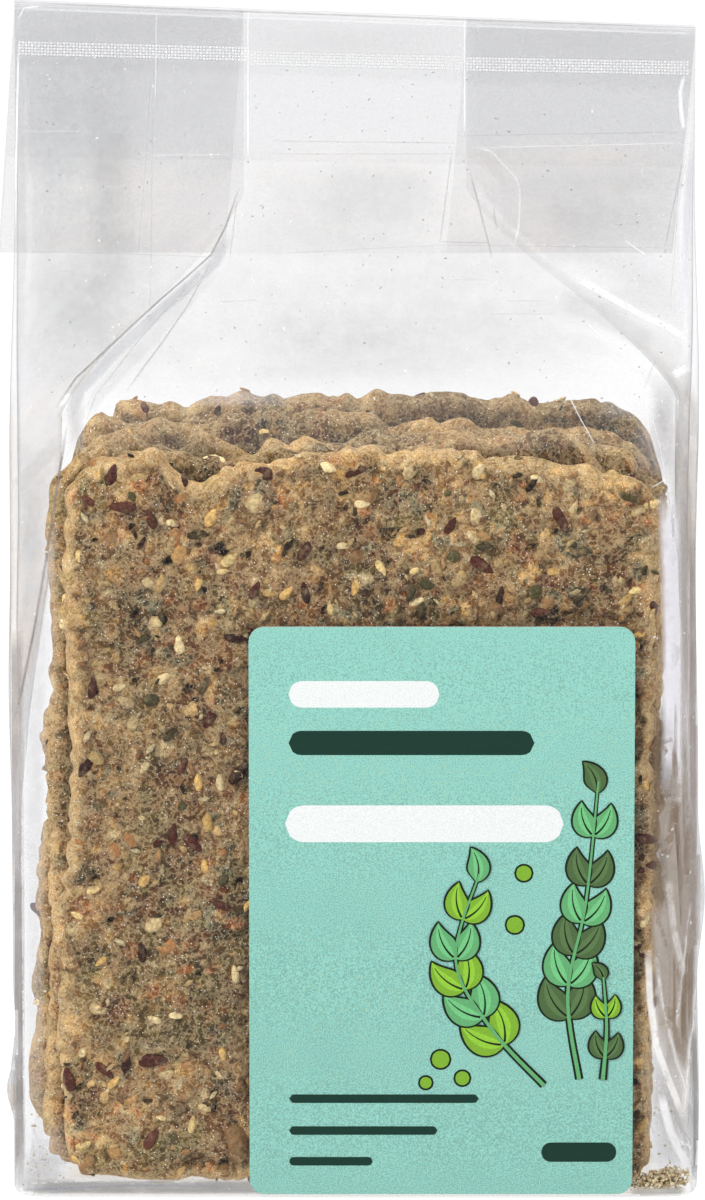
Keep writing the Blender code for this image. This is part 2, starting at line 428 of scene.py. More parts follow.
class FILM_OT_bag(bpy.types.Operator):
    """The clear film: block bottom, side pleats, flattened head, and its mouth folded to the back"""

    bl_idname = "crispbread.film_bag"
    bl_label = "Film bag"

    def execute(self, context):
        film = film_material(context.scene.crispbread)
        for piece in (make_film(film), make_base_folds(film)):
            keep_clear(piece)
        return {"FINISHED"}


# The grid of the film: columns over the front, the back and half of each pleat, rows of the body, of the
# turn at the fold and of the flap, and the share of the flap that the front panel's lip reaches down
FRONT_STEPS = 96
BACK_STEPS = 64
PLEAT_STEPS = 9
BODY_ROWS = 150
TURN_ROWS = 6
FLAP_ROWS = 30
LIP_SHARE = 0.58


def head_tilt(level):
    """From 0 beside the stack to 1 at the head, which was folded askew, down to the right."""
    return FOLD_SLOPE * smooth(STACK_TOP + 20 * MM, FOLD_HEIGHT - 16 * MM, level)


def bag_surface():
    """The film as rows of points from the base up to the fold, as x, y and z."""
    base = np.array([0.0, 0.0, 0.25, 0.6, 1.1]) * MM
    body = np.linspace(1.8 * MM, FOLD_HEIGHT - 1.4 * MM, BODY_ROWS)
    level = np.concatenate([base, body])[:, None]
    left, right = side_edge(level, -1), side_edge(level, 1)
    radius, deep = corner_radius(level), half_depth(level)
    share = np.linspace(0, 1, FRONT_STEPS + 1)[None, :]
    front_x = -(left - radius) + (left + right - 2 * radius) * share
    front_y = -deep - panel_relief(front_x, level, FRONT_FOLDS, 11)
    share = np.linspace(1, 0, BACK_STEPS + 1)[None, :]
    back_x = -(left - radius) + (left + right - 2 * radius) * share
    back_y = deep + panel_relief(back_x, level, BACK_FOLDS, 14)
    right_x, right_y = side_columns(level, 1)
    left_x, left_y = side_columns(level, -1)
    x = np.concatenate([front_x, *right_x, back_x, *left_x[::-1], front_x[:, :1]], axis=1)
    y = np.concatenate([front_y, *right_y, back_y, *left_y[::-1], front_y[:, :1]], axis=1)
    # The bottom rows turn in under the bag
    tucked = np.array([0.96, 0.985, 0.992, 0.997, 1.0])
    x[:5] *= tucked[:, None]
    y[:5] *= (2 * tucked - 1)[:, None]
    return x, y, level + x * head_tilt(level)


def add_flap(x, y, z):
    """Adds the rows of the fold and of the mouth that lies folded down the back."""
    top_x, layer = x[-1], y[-1]
    axis_y, axis_z = 1.0 * MM, z[-1]
    rows = []
    for step in range(1, TURN_ROWS + 1):
        angle = math.pi * step / TURN_ROWS
        reach = axis_y - layer
        rows.append((top_x, axis_y - reach * math.cos(angle), axis_z + reach * math.sin(angle)))
    for step in range(1, FLAP_ROWS + 1):
        share = step / FLAP_ROWS
        height = axis_z + (FLAP_BOTTOM - axis_z) * share
        across = top_x - (axis_z - height) * FLAP_LEAN
        level = height - across * head_tilt(height)
        wave = 0.5 * MM * smooth(0, 1, share) * soft_noise(across, height, 16 * MM, 31)
        rows.append((across, half_depth(level) + 1.5 * MM - layer + np.abs(wave), height))
    return [np.vstack([old, new]) for old, new in zip((x, y, z), np.swapaxes(rows, 0, 1))]


def make_film(film):
    x, y, z = add_flap(*bag_surface())
    rows, columns = x.shape
    shape = bmesh.new()
    bmesh.ops.create_grid(shape, x_segments=columns - 1, y_segments=rows - 1, size=1)
    for vertex, place in zip(shape.verts, np.stack([x.ravel(), y.ravel(), z.ravel()], axis=1)):
        vertex.co = place
    # The front panel's lip is shorter than the rest of the mouth
    first_short = rows - FLAP_ROWS + round(FLAP_ROWS * LIP_SHARE)
    short = [
        face
        for place, face in enumerate(shape.faces)
        if place // (columns - 1) >= first_short and place % (columns - 1) < FRONT_STEPS
    ]
    bmesh.ops.delete(shape, geom=short, context="FACES")
    bmesh.ops.remove_doubles(shape, verts=shape.verts, dist=0.004 * MM)
    open_edges = [edge for edge in shape.edges if edge.is_boundary]
    bottom = [edge for edge in open_edges if max(vertex.co.z for vertex in edge.verts) < 0.1 * MM]
    bmesh.ops.contextual_create(shape, geom=bottom)
    bmesh.ops.recalc_face_normals(shape, faces=shape.faces)
    return finish_piece(shape, "film_bag", film)


def keep_clear(piece):
    """Hides a piece from shadow, diffuse and glossy rays, and hides the bag's solid. Clear film hardly
    shades, tints or mirrors in what is near.
    """
    for ray in ("shadow", "diffuse", "glossy"):
        setattr(piece, "visible_" + ray, False)
    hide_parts("bag")


def film_material(look):
    """Thin clear film: it mirrors a little, more at a glance, and carries a faint milky haze."""
    shader = material_shader("clear_film")
    facing = Value(shader, shader.node("ShaderNodeLayerWeight", None, {"Blend": 0.5}).outputs["Facing"])
    mirror = look.film_shine + (1 - look.film_shine) * (facing**5)
    smudge = shader.noise(14 * MM, 2, 0.6)
    grain = shader.noise(0.38 * MM, 1, 0.5)
    haze = look.film_haze * (0.4 + 1.2 * smudge) + 0.12 * (grain - 0.46).most(0.0)
    fine = shader.noise(1.3 * MM, 1, 0.6)
    broad = shader.noise(7 * MM, 1, 0.5)
    normal = shader.bump(0.25 * fine + broad, 0.22 * MM)
    clear = shader.node("ShaderNodeBsdfTransparent", None, {"Color": (0.99, 0.99, 0.992, 1)})
    milky = shader.node("ShaderNodeBsdfDiffuse", None, {"Color": (0.6, 0.61, 0.63, 1)})
    mirroring = {"Color": (1, 1, 1, 1), "Roughness": 0.09, "Normal": normal}
    gloss = shader.node("ShaderNodeBsdfAnisotropic", None, mirroring)
    body = shader.node("ShaderNodeMixShader", None, {0: haze, 1: clear, 2: milky})
    return shader.finish(shader.node("ShaderNodeMixShader", None, {0: mirror, 1: body, 2: gloss}))


# The crispbread slices

SLICE_COUNT = 8
SLICE_WIDTH = 100 * MM
SLICE_HEIGHT = 125.5 * MM
SLICE_THICKNESS = 3.8 * MM
SLICE_PITCH = 5.45 * MM
FRONT_SLICE_Y = -20.3 * MM
SLICE_CORNER = 6 * MM
RIM_WIDTH = 2.8 * MM
# How high the middle of a slice is over the base, in millimetres
SLICE_MIDDLE = 63.3

# Each slice from front to back: shift to the right and up in millimetres, and turn in degrees
SLICE_PLACES = (
    (1.0, 0.1, 0.2), (-2.0, 0.2, 0.6), (0.6, 0.8, 0.9), (-0.8, 0.4, 1.6), (-2.5, 0.2, 2.9),
    (1.2, 0.8, 1.1), (2.0, 0.6, 1.5), (2.2, 0.8, 1.2),
)
# The ups and downs of each slice's top edge: millimetres across and above the base
TOP_EDGES = (
    (
        (-48.3, 124.2), (-44.3, 126.9), (-40, 127.6), (-33.1, 128.1), (-30.7, 125.7), (-25.5, 123.7),
        (-19, 125.7), (-12, 127.8), (3, 128.7), (14.6, 128), (20, 128.7), (24.5, 127.1), (30.4, 128.3),
        (34.9, 126.4), (42.3, 124.9), (47.9, 122.8), (50.7, 121.1),
    ),
    (
        (-49, 124.8), (-46.1, 128.2), (-39.2, 128), (-38, 126.8), (-33, 126.4), (-28.5, 127.9),
        (-22, 126.2), (-14.3, 127.6), (0, 127), (14, 128.5), (17.7, 130), (22.5, 129), (29.3, 130.1),
        (32, 130.8), (36.9, 129.9), (39.6, 127.5), (42, 124), (49, 119),
    ),
    (
        (-48, 122), (-44.1, 128), (-38.2, 129.6), (-35.1, 128), (-29.4, 126.6), (-26, 128.9),
        (-23.8, 128.2), (-18.5, 125.4), (-14.4, 127.4), (-4, 128), (6, 129.6), (14, 130.2), (24, 128),
        (33, 126.5), (40.5, 127.3), (46.4, 126.8), (49.7, 121.5),
    ),
    (
        (-50, 122), (-47, 128), (-43, 130.8), (-38.2, 129.5), (-32.7, 131.2), (-27.7, 129.5),
        (-24.1, 129.4), (-17.1, 131.6), (-12.4, 130.8), (-4, 132), (2, 130.8), (6, 129.4), (12, 131),
        (20, 129.2), (28, 127.6), (34, 126.6), (46, 125), (50, 120),
    ),
    (
        (-50, 118), (-44, 126.6), (-30, 127.5), (-10, 126.6), (5, 125), (20, 125), (50, 121),
    ),
    (
        (-48, 118), (-43, 126), (-30, 127), (-12, 126.2), (2, 124.4), (24, 123.6), (42, 123.4), (51, 119),
    ),
    (
        (-46, 118), (-42, 126), (-20, 127.6), (0, 126), (18, 125.8), (26, 125.2), (40, 125.8), (47, 124),
        (51, 120),
    ),
    (
        (-44.5, 118), (-41.6, 125.5), (-40.8, 128.3), (-34.3, 129.3), (-29, 127.8), (-24.8, 130.3),
        (-18, 129.8), (-5, 130.4), (5, 130.4), (8.7, 129.2), (14, 130.3), (19.7, 130.2), (23, 128.8),
        (26.7, 130.9), (30.5, 129.2), (36, 129.6), (43.2, 128.8), (48.2, 127.1), (50.7, 124.3),
        (52.5, 121), (53.6, 116),
    ),
)

CRUST = linear(182, 151, 106)
PALE = linear(230, 208, 164)
GOLD = linear(220, 180, 118)
# The colour of the painted highlight on the slices' rims
RIM_HIGHLIGHT = linear(232, 200, 148)
ORANGE = linear(192, 134, 84)
RUSSET = linear(140, 88, 56)
TOASTED = linear(150, 104, 64)
OLIVE = linear(132, 118, 70)
DEEP_GREEN = linear(66, 66, 48)
GREY_GREEN = linear(134, 130, 104)
# Near black: painted shade inside the holes and pits
HOLE_SHADE = linear(26, 20, 14)
# Brings the crust back to its brightness after its contrast has been raised
CONTRAST_GAIN = (1.06, 1.2, 1.59)

# Holes seen in the front slice, in millimetres on the bag: x, z, and how far each reaches
FRONT_PITS = (
    (-22.9, 111.9, 1.25), (-22.0, 110.6, 0.9), (-32.4, 98.8, 0.9), (-11.4, 111.7, 1.2),
    (-31.4, 109.1, 1.0), (-19.5, 53.3, 0.8), (-41.3, 46.6, 0.7), (-37.8, 114.8, 0.7),
)


class Crust:
    """The relief and the colours of one face of a slice, on its grid lines."""

    def __init__(self, across, up, seed):
        self.across, self.up = across, up
        self.random = np.random.default_rng(seed)
        x, z = np.meshgrid(across, up)
        inset = np.minimum(x - across[0], across[-1] - x)
        inset = np.minimum(inset, np.minimum(z - up[0], up[-1] - z))

        def noise(size, step):
            return soft_noise(x, z, size * MM, seed + step)

        uneven = 1 + 0.25 * (1 - smooth(3 * MM, 9 * MM, inset))
        self.height = 0.6 * MM * noise(17, 0)
        self.height += uneven * 1.8 * MM * np.abs(noise(7, 1))
        self.height += uneven * 1.1 * MM * np.abs(noise(2.9, 2))
        self.height += 0.2 * MM * noise(1.2, 5) - 0.7 * MM
        self.height += 0.5 * MM * np.exp(-(((inset - 1.7 * MM) / (1.1 * MM)) ** 2))
        mottle = np.clip(noise(8, 3) + 0.6 * noise(3.4, 6) + 0.7 * noise(21, 8), -0.9, 0.9)[..., None]
        self.colour = np.array(CRUST) * (1 + np.array((0.7, 0.73, 0.8)) * mottle)
        self.stain(OLIVE, 0.7 * smooth(0.1, 0.75, noise(12, 4)))
        # Each face is darker towards its middle than near its edges
        self.colour *= 1.02 - 0.2 * smooth(3 * MM, 26 * MM, inset)[..., None]
        # The sheet is lighter towards its top and bottom ends than about its middle height
        heights = np.array((-62, -50, -40, -16, 4, 20, 36, 50)) * MM
        self.ends = np.interp(z, heights, (1.16, 1.1, 0.98, 0.93, 0.86, 0.87, 1.03, 1.13))[..., None]
        self.stain(TOASTED, 0.6 * smooth(0.1, 0.7, noise(7, 7)))

    def stain(self, colour, share, patch=...):
        """Mixes a colour in by share."""
        self.colour[patch] += (np.array(colour) - self.colour[patch]) * share[..., None]

    def press(self, x, z, length, width, angle, rise, colour, strength):
        """Adds one grain, or a pit where rise is below zero, with its own colour."""
        first, last = np.searchsorted(self.across, (x - length, x + length))
        low, high = np.searchsorted(self.up, (z - length, z + length))
        if last - first < 1 or high - low < 1:
            return
        dx, dz = np.meshgrid(self.across[first:last] - x, self.up[low:high] - z)
        along = (dx * math.cos(angle) + dz * math.sin(angle)) / length
        aside = (dz * math.cos(angle) - dx * math.sin(angle)) / width
        inside = np.clip(1 - along**2 - aside**2, 0, 1)
        patch = (slice(low, high), slice(first, last))
        if rise > 0:
            middle = self.height[(low + high) // 2, (first + last) // 2]
            top = np.maximum(self.height[patch], middle * 0.7 + rise * np.sqrt(inside) - 0.1 * MM)
            self.height[patch] = np.where(inside > 0, top, self.height[patch])
        else:
            self.height[patch] += rise * inside**0.5
        self.stain(colour, strength * smooth(0, 0.35, inside), patch)

    def scatter(self, count, sizes, rises, palette, strength):
        """Presses many grains of like size. Sizes and rises are ranges in millimetres."""
        random = self.random
        for _ in range(count):
            x = random.uniform(self.across[0], self.across[-1])
            z = random.uniform(self.up[0], self.up[-1])
            length = random.uniform(*sizes) * MM
            width = length * random.uniform(0.4, 0.95)
            colour = np.array(palette[random.integers(len(palette))]) * random.uniform(0.75, 1.2)
            rise = random.uniform(*rises) * MM
            self.press(x, z, length, width, random.uniform(0, math.pi), rise, colour, strength)

    def knead(self):
        """The whole mix: broad lumps, flakes, grains, then pits."""
        self.scatter(280, (1.8, 3.6), (0.3, 0.8), (CRUST, GOLD, CRUST, OLIVE, RUSSET, GREY_GREEN), 0.8)
        flakes = (CRUST, PALE, GOLD, ORANGE, ORANGE, OLIVE, GREY_GREEN)
        self.scatter(520, (0.9, 2.0), (0.15, 0.5), flakes, 0.85)
        grains = (CRUST, PALE, GOLD, ORANGE, RUSSET, GREY_GREEN, OLIVE)
        self.scatter(2400, (0.5, 1.1), (0.1, 0.3), grains, 0.5)
        # Shallow pits in crust colours and painted shade, then deep holes painted mostly with shade
        self.scatter(360, (0.4, 1.0), (-0.7, -0.25), (RUSSET, HOLE_SHADE, DEEP_GREEN, OLIVE), 0.55)
        self.scatter(110, (0.5, 1.1), (-1.8, -0.9), (HOLE_SHADE, HOLE_SHADE, DEEP_GREEN), 0.9)
        self.colour *= self.ends


def slice_profile(x, z):
    """1 inside, falling round to the rim: the share of a slice's thickness at a point."""
    corner_x = np.maximum(np.abs(x) - (SLICE_WIDTH / 2 - SLICE_CORNER), 0)
    corner_z = np.maximum(np.abs(z) - (SLICE_HEIGHT / 2 - SLICE_CORNER), 0)
    inset = SLICE_CORNER - np.hypot(corner_x, corner_z)
    share = np.clip(inset / RIM_WIDTH, 0, 1)
    return 0.08 + 0.92 * np.sqrt(1 - (1 - share) ** 2)


def round_corners(x, z):
    """Carries the square grid's corners onto arcs."""
    straight_x, straight_z = SLICE_WIDTH / 2 - SLICE_CORNER, SLICE_HEIGHT / 2 - SLICE_CORNER
    a = np.clip((np.abs(x) - straight_x) / SLICE_CORNER, 0, 1)
    b = np.clip((np.abs(z) - straight_z) / SLICE_CORNER, 0, 1)
    moved_x = np.where(a > 0, straight_x + SLICE_CORNER * a * np.sqrt(1 - b * b / 2), np.abs(x))
    moved_z = np.where(b > 0, straight_z + SLICE_CORNER * b * np.sqrt(1 - a * a / 2), np.abs(z))
    return np.sign(x) * moved_x, np.sign(z) * moved_z


def ragged(x, z, seed):
    """Pushes the outline in and out, so that the edge is as uneven as a broken sheet's."""
    around = np.arctan2(z, x) * 60 * MM
    reach = np.maximum(np.abs(x) / (SLICE_WIDTH / 2), np.abs(z) / (SLICE_HEIGHT / 2))
    near_rim = smooth(0.84, 1.0, reach)
    at_end = smooth(0.85, 0.97, np.abs(z) / (SLICE_HEIGHT / 2))

    def wave(size, step):
        return soft_noise(around, x * 0, size * MM, seed + step)

    broad = 1.7 * wave(24, 0) + 1.1 * wave(12, 3)
    knobs = 2.0 * np.abs(wave(5.2, 1)) + 1.1 * np.abs(wave(2.3, 2)) - 1.15
    push = (broad * (1 - at_end) + knobs) * (0.65 + 0.3 * at_end)
    length = np.hypot(x, z) + 1e-9
    return x + x / length * push * MM * near_rim, z + z / length * push * MM * near_rim


def double_sheet(across, up, name):
    """Two grids joined round the rim: the mesh, and each vertex's place on its grid and its side."""
    shape = bmesh.new()
    place = shape.verts.layers.int.new("place")
    side = shape.verts.layers.int.new("side")
    bmesh.ops.create_grid(shape, x_segments=len(across) - 1, y_segments=len(up) - 1, size=1)
    for index, vertex in enumerate(shape.verts):
        vertex[place] = index
    made = bmesh.ops.extrude_face_region(shape, geom=shape.faces[:])
    for item in made["geom"]:
        if isinstance(item, bmesh.types.BMVert):
            item[side] = 1
    # The faces round the rim come in no fixed order, so they are sorted by the grid points that they join
    shape.faces.index_update()
    sheets = 2 * (len(across) - 1) * (len(up) - 1)

    def order(face):
        if face.index < sheets:
            return face.index
        joined = [vertex[place] for vertex in face.verts]
        return sheets * (1 + min(joined)) + max(joined)

    shape.faces.sort(key=order)
    mesh = mesh_of(shape, name)
    found = []
    for layer in ("place", "side"):
        values = np.empty(len(mesh.vertices), int)
        mesh.attributes[layer].data.foreach_get("value", values)
        mesh.attributes.remove(mesh.attributes[layer])
        found.append(values)
    return mesh, *found


def make_slice(number, crust_look):
    """One slice: a sheet of grains on both faces, thin and ragged at its rim."""
    name = f"crispbread_{number + 1}"
    spacing = {0: 0.53 * MM, SLICE_COUNT - 1: 0.66 * MM}.get(number, 0.86 * MM)
    across = np.linspace(-SLICE_WIDTH / 2, SLICE_WIDTH / 2, round(SLICE_WIDTH / spacing) + 1)
    up = np.linspace(-SLICE_HEIGHT / 2, SLICE_HEIGHT / 2, round(SLICE_HEIGHT / spacing) + 1)
    shift_x, shift_z, turn = SLICE_PLACES[number]
    outer = (number == 0, number == SLICE_COUNT - 1)
    faces = [Crust(across, up, 100 + 10 * number + 5 * side) for side in (0, 1)]
    for face in faces:
        face.knead()
    if number == 0:
        for x, z, reach in FRONT_PITS:
            local_x, local_z = (x - shift_x) * MM, (z - shift_z - SLICE_MIDDLE) * MM
            # The holes in the front face, painted with shade
            faces[0].press(local_x, local_z, reach * MM, 0.75 * reach * MM, 1.1, -2.4 * MM, HOLE_SHADE, 1.0)
    mesh, index, side = double_sheet(across, up, name)
    x, z = (grid.ravel() for grid in np.meshgrid(across, up))
    profile = slice_profile(x, z)
    border = np.minimum(SLICE_WIDTH / 2 - np.abs(x), SLICE_HEIGHT / 2 - np.abs(z))
    border += 1.3 * MM * soft_noise(x, z, 16 * MM, 700 + number)
    x, z = ragged(*round_corners(x, z), 300 + 7 * number)
    inset = np.minimum(SLICE_WIDTH / 2 - np.abs(x), SLICE_HEIGHT / 2 - np.abs(z))
    warp = 0.5 * MM * soft_noise(x, z, 40 * MM, 500 + number)
    warp += 1.4 * MM * soft_noise(x, z, 13 * MM, 600 + number) * (1 - smooth(3 * MM, 12 * MM, inset))
    # Little light gets in between two slices: their inner faces are flatter, and painted shade darkens their
    # tint away from the rim
    painted_gap_shade = 1 - 0.65 * smooth(1.2 * MM, 7.0 * MM, inset)[:, None]
    shares = [(1, 1) if shown else (0.5, painted_gap_shade) for shown in outer]
    heights = np.stack([face.height.ravel() * share for face, (share, _) in zip(faces, shares)])
    colours = np.stack([face.colour.reshape(-1, 3) * share for face, (_, share) in zip(faces, shares)])
    outwards = np.where(side == 0, -1, 1)
    relief = heights[side, index] * (0.45 + 0.55 * profile[index])
    y = warp[index] + outwards * (0.5 * SLICE_THICKNESS * profile[index] + relief)
    points = np.stack([x[index], y, z[index]], axis=1)
    # The rim is painted paler: a painted highlight where light falls on the rounded edge
    rim = (1 - smooth(1.0 * MM, 3.0 * MM, border))[index, None]
    tints = colours[side, index]
    tints = tints + (np.array(RIM_HIGHLIGHT) - tints) * (0.5 if number else 0.62) * rim
    angle = math.radians(turn)
    turned = np.array(Matrix.Rotation(angle, 3, "Y"))
    lean = np.array(Matrix.Rotation(math.radians(0.4 * math.sin(2.1 * number)), 3, "Z"))
    points = points @ turned.T @ lean.T
    raised = (shift_z + 0.4) * MM - points[:, 2].min()
    points += (shift_x * MM, FRONT_SLICE_Y + number * SLICE_PITCH, raised)
    # The top edge is carried from a straight line onto the slice's own
    aside = points[:, 0] - shift_x * MM
    straight = raised + (SLICE_HEIGHT / 2 - aside * math.sin(angle)) / math.cos(angle)
    edge_x, edge_z = np.array(TOP_EDGES[number]).T * MM
    near_top = smooth(SLICE_HEIGHT / 2 - 18 * MM, SLICE_HEIGHT / 2 - 2 * MM, z)[index]
    points[:, 2] += near_top * (np.interp(points[:, 0], edge_x, edge_z) - straight)
    # Painted shade: near its top edge each slice behind the front one is darkened, more in patches, for the
    # shadow in the gaps between the tops
    if number:
        dark = smooth(-0.1, 0.5, soft_noise(points[:, 0], points[:, 2], 8 * MM, 900 + number))
        tints = tints * (1 - near_top * (0.16 + 0.34 * dark))[:, None]
    mesh.vertices.foreach_set("co", points.ravel())
    tint = mesh.attributes.new("tint", "FLOAT_COLOR", "POINT")
    tint.data.foreach_set("color", np.column_stack([tints, 1 - 0.55 * rim[:, 0]]).ravel())
    shape = bmesh.new()
    shape.from_mesh(mesh)
    bmesh.ops.recalc_face_normals(shape, faces=shape.faces)
    shape.to_mesh(mesh)
    shape.free()
    piece = place_piece(mesh, name, crust_look)
    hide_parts("bag")


def web(shader):
    """The fine pale web of dried mucilage that runs over crust and seeds alike: 0 to 1."""
    swirl = shader.noise(1.3 * MM, 2, 0.6)
    strands = 1 - 20 * (swirl - 0.5).maths("ABSOLUTE")
    hairs = 1 - 24 * (swirl - 0.56).maths("ABSOLUTE")
    return strands.most(0.9 * hairs).most(0.0)


def crust_material(look):
    """Baked seed crust: translucent brown grains with pale seams, fine crumb, pits, a pale web, and painted
    white glints.
    """
    shader = material_shader("seed_crust")
    tint, rough = shader.tint()
    crumb = shader.noise(0.5 * MM, 2, 0.7)
    swirl = shader.texture("ShaderNodeTexNoise", 1.4 * MM, 3, 0.6)
    coarse = Value(shader, swirl.outputs["Fac"])
    swayed = {0: swirl.outputs["Color"], 1: (1.8 * MM,) * 3, 2: shader.place()}
    sway = shader.node("ShaderNodeVectorMath", {"operation": "MULTIPLY_ADD"}, swayed).outputs[0]
    grains = shader.texture("ShaderNodeTexVoronoi", 1.9 * MM, 0, 0.5, sway)
    picked = shader.node("ShaderNodeSeparateColor", None, {"Color": grains.outputs["Color"]})
    hue, chance = Value(shader, picked.outputs[0]), Value(shader, picked.outputs[1])
    seam = Value(shader, grains.outputs["Distance"]).between(0.42, 0.66)
    shade = shader.colours(
        0.35 * crumb + 0.65 * coarse,
        (0.37, (0.46, 0.39, 0.31)),
        (0.44, (0.85, 0.82, 0.77)),
        (0.53, (1.0, 1.0, 0.98)),
        (0.64, (1.2, 1.2, 1.16)),
    )
    colour = shader.blend(tint, shade, rough, "MULTIPLY")
    warm = shader.colours(
        hue,
        (0.0, linear(100, 86, 58)),
        (0.15, linear(152, 130, 88)),
        (0.5, linear(166, 130, 84)),
        (0.75, linear(144, 96, 60)),
        (1.0, linear(208, 184, 138)),
    )
    shown = chance.between(0.35, 0.75)
    colour = shader.blend(colour, warm, 0.7 * rough * shown * (1 - 0.8 * seam))
    colour = shader.blend(colour, linear(112, 84, 54), 0.35 * rough * shown * seam)
    fine = shader.noise(0.26 * MM, 1, 0.5)
    fine = shader.colours(fine, (0.36, (0.78, 0.76, 0.72)), (0.64, (1.2, 1.2, 1.19)))
    colour = shader.blend(colour, fine, 1.0, "MULTIPLY")
    cream = (0.6 * crumb + 0.4 * coarse).between(0.54, 0.64)
    colour = shader.blend(colour, linear(226, 204, 158), 0.5 * rough * cream)
    colour = shader.blend(colour, linear(232, 210, 168), 0.55 * web(shader))
    # More contrast about the same middle
    colour = shader.node("ShaderNodeGamma", None, {0: colour, 1: 1.6})
    colour = shader.blend(colour, CONTRAST_GAIN, 1.0, "MULTIPLY")
    # Painted highlights: tiny near-white glints in the base colour, where the crust is also smoother
    cells = shader.texture("ShaderNodeTexVoronoi", 0.8 * MM, 0, 0.5)
    glint = 1 - Value(shader, cells.outputs["Distance"])
    return shader.principled(
        {
            "Base Color": shader.blend(colour, linear(255, 250, 236), 0.95 * glint.between(0.84, 0.9)),
            "Roughness": 0.75 - 0.45 * glint.between(0.7, 0.95),
            "Specular IOR Level": 0.5,
            "Normal": shader.bump(0.4 * crumb + 0.6 * coarse, 0.7 * MM, look.crust_bump),
        }
    )


class CRISPBREAD_OT_slices(bpy.types.Operator):
    """The loose stack of slices, each with its own grains, edge, shift and turn"""

    bl_idname = "crispbread.slices"
    bl_label = "Slices"

    def execute(self, context):
        crust_look = crust_material(context.scene.crispbread)
        for number in range(SLICE_COUNT):
            make_slice(number, crust_look)
        return {"FINISHED"}


# Seeds and flakes baked into the slices


class Ground:
    """Where things can lie on a slice: the middles, normals and areas of its mesh's faces."""

    def __init__(self, piece):
        mesh = piece.data
        count = len(mesh.polygons)
        self.middles, self.normals, self.areas = np.empty(count * 3), np.empty(count * 3), np.empty(count)
        mesh.polygons.foreach_get("center", self.middles)
        mesh.polygons.foreach_get("normal", self.normals)
        mesh.polygons.foreach_get("area", self.areas)
        self.middles, self.normals = self.middles.reshape(-1, 3), self.normals.reshape(-1, 3)
        low, high = self.middles.min(axis=0), self.middles.max(axis=0)
        inside = np.minimum(self.middles - low, high - self.middles)
        self.rim = np.minimum(inside[:, 0], inside[:, 2])

    def pick(self, random, count, wanted):
        """Random faces among those wanted, as often as their areas."""
        weights = self.areas * wanted
        return random.choice(len(weights), count, p=weights / weights.sum())

    def nearest_front(self, x, z):
        ahead = self.normals[:, 1] < -0.2
        distance = np.hypot(self.middles[:, 0] - x, self.middles[:, 2] - z) + np.where(ahead, 0, 1)
        return int(distance.argmin())

    def lay(self, face, turn, size, sink):
        """The matrix that lays a copy flat on a face, turned about the face's normal and sunk in."""
        middle, normal = Vector(self.middles[face]), Vector(self.normals[face])
        flat = Vector((0, -1 if normal.y < 0 else 1, 0))
        normal = (normal + 1.3 * flat * abs(normal.y)).normalized()
        across = Vector((1, 0, 0)) - normal * normal.x
        if across.length < 0.2:
            across = Vector((0, 0, 1)) - normal * normal.z
        across.normalize()
        up = normal.cross(across)
        if up.z < 0:
            up, across = -up, -across
        axes = Matrix((across, up, normal)).transposed().to_4x4()
        place = Matrix.Translation(middle - normal * sink)
        return place @ axes @ Matrix.Rotation(turn, 4, "Z") @ Matrix.Diagonal((*size, 1))


# The seeds that stand out on the front slice, in millimetres on the bag: x, z, degrees, length
FLAX_SEEN = (
    (-40.6, 124.6, 75, 4.4), (-38.9, 119.8, 175, 4.8), (-34.2, 117.6, 105, 4.4), (-35.9, 113.4, 60, 2.6),
    (-27.2, 126.3, 95, 3.6), (-14.6, 125.5, -10, 5.0), (-37.0, 100.3, 150, 2.6), (-20.0, 96.9, -5, 4.2),
    (-19.8, 73.5, 50, 5.0), (-24.1, 83.4, 70, 5.2), (-27.6, 61.5, -45, 5.0), (-30.8, 63.0, 85, 4.0),
    (-33.6, 61.4, 40, 3.6), (-22.5, 50.8, -20, 3.8), (-36.3, 42.1, 95, 4.2), (-42.3, 21.8, -40, 4.0),
    (-38.7, 22.6, 80, 3.6), (-34.6, 23.4, 5, 6.0), (-48.8, 19.6, 100, 5.2), (-34.4, 9.5, 60, 4.2),
    (-44.4, 88.4, 80, 3.8), (11.1, 114.9, 95, 4.6), (15.8, 116.0, 60, 4.0), (21.2, 109.2, -35, 4.6),
    (34.3, 117.6, -65, 5.4), (24.2, 103.8, 80, 3.8), (-8.2, 104.7, 100, 4.0), (-8.4, 112.4, 60, 4.4),
    (31.4, 101.2, 10, 3.6), (-22.4, 80.0, 85, 2.8), (-28.9, 74.4, 65, 3.4), (51.2, 101.5, -60, 4.2),
)
SESAME_SEEN = (
    (-24.2, 118.1, 60, 3.8), (-20.8, 110.3, 40, 3.4), (-29.8, 95.9, 95, 3.6), (-32.4, 89.8, 40, 3.2),
    (-39.4, 88.6, 20, 2.6), (-14.1, 104.5, 0, 3.0), (-11.8, 104.9, 50, 3.2), (-22.2, 108.6, 10, 2.4),
    (-22.8, 71.9, 100, 3.4), (-24.8, 65.1, 90, 3.8), (-26.5, 71.9, 95, 3.2), (-39.6, 57.4, 30, 3.0),
    (-35.5, 54.8, 60, 3.2), (-25.4, 57.1, 100, 3.0), (-44.2, 53.1, 20, 3.2), (-41.0, 19.7, 50, 3.2),
    (-27.6, 12.0, 80, 3.2), (-46.6, 7.7, 30, 3.4), (-47.2, 5.3, 0, 3.2), (-50.2, 99.1, 80, 3.0),
    (49.1, 11.8, 60, 3.2), (20.6, 125.9, 60, 4.2), (33.2, 108.2, 5, 3.2), (1.2, 120.2, 0, 2.8),
    (50.0, 120.0, 20, 3.6), (45.5, 103.4, 45, 3.2),
)
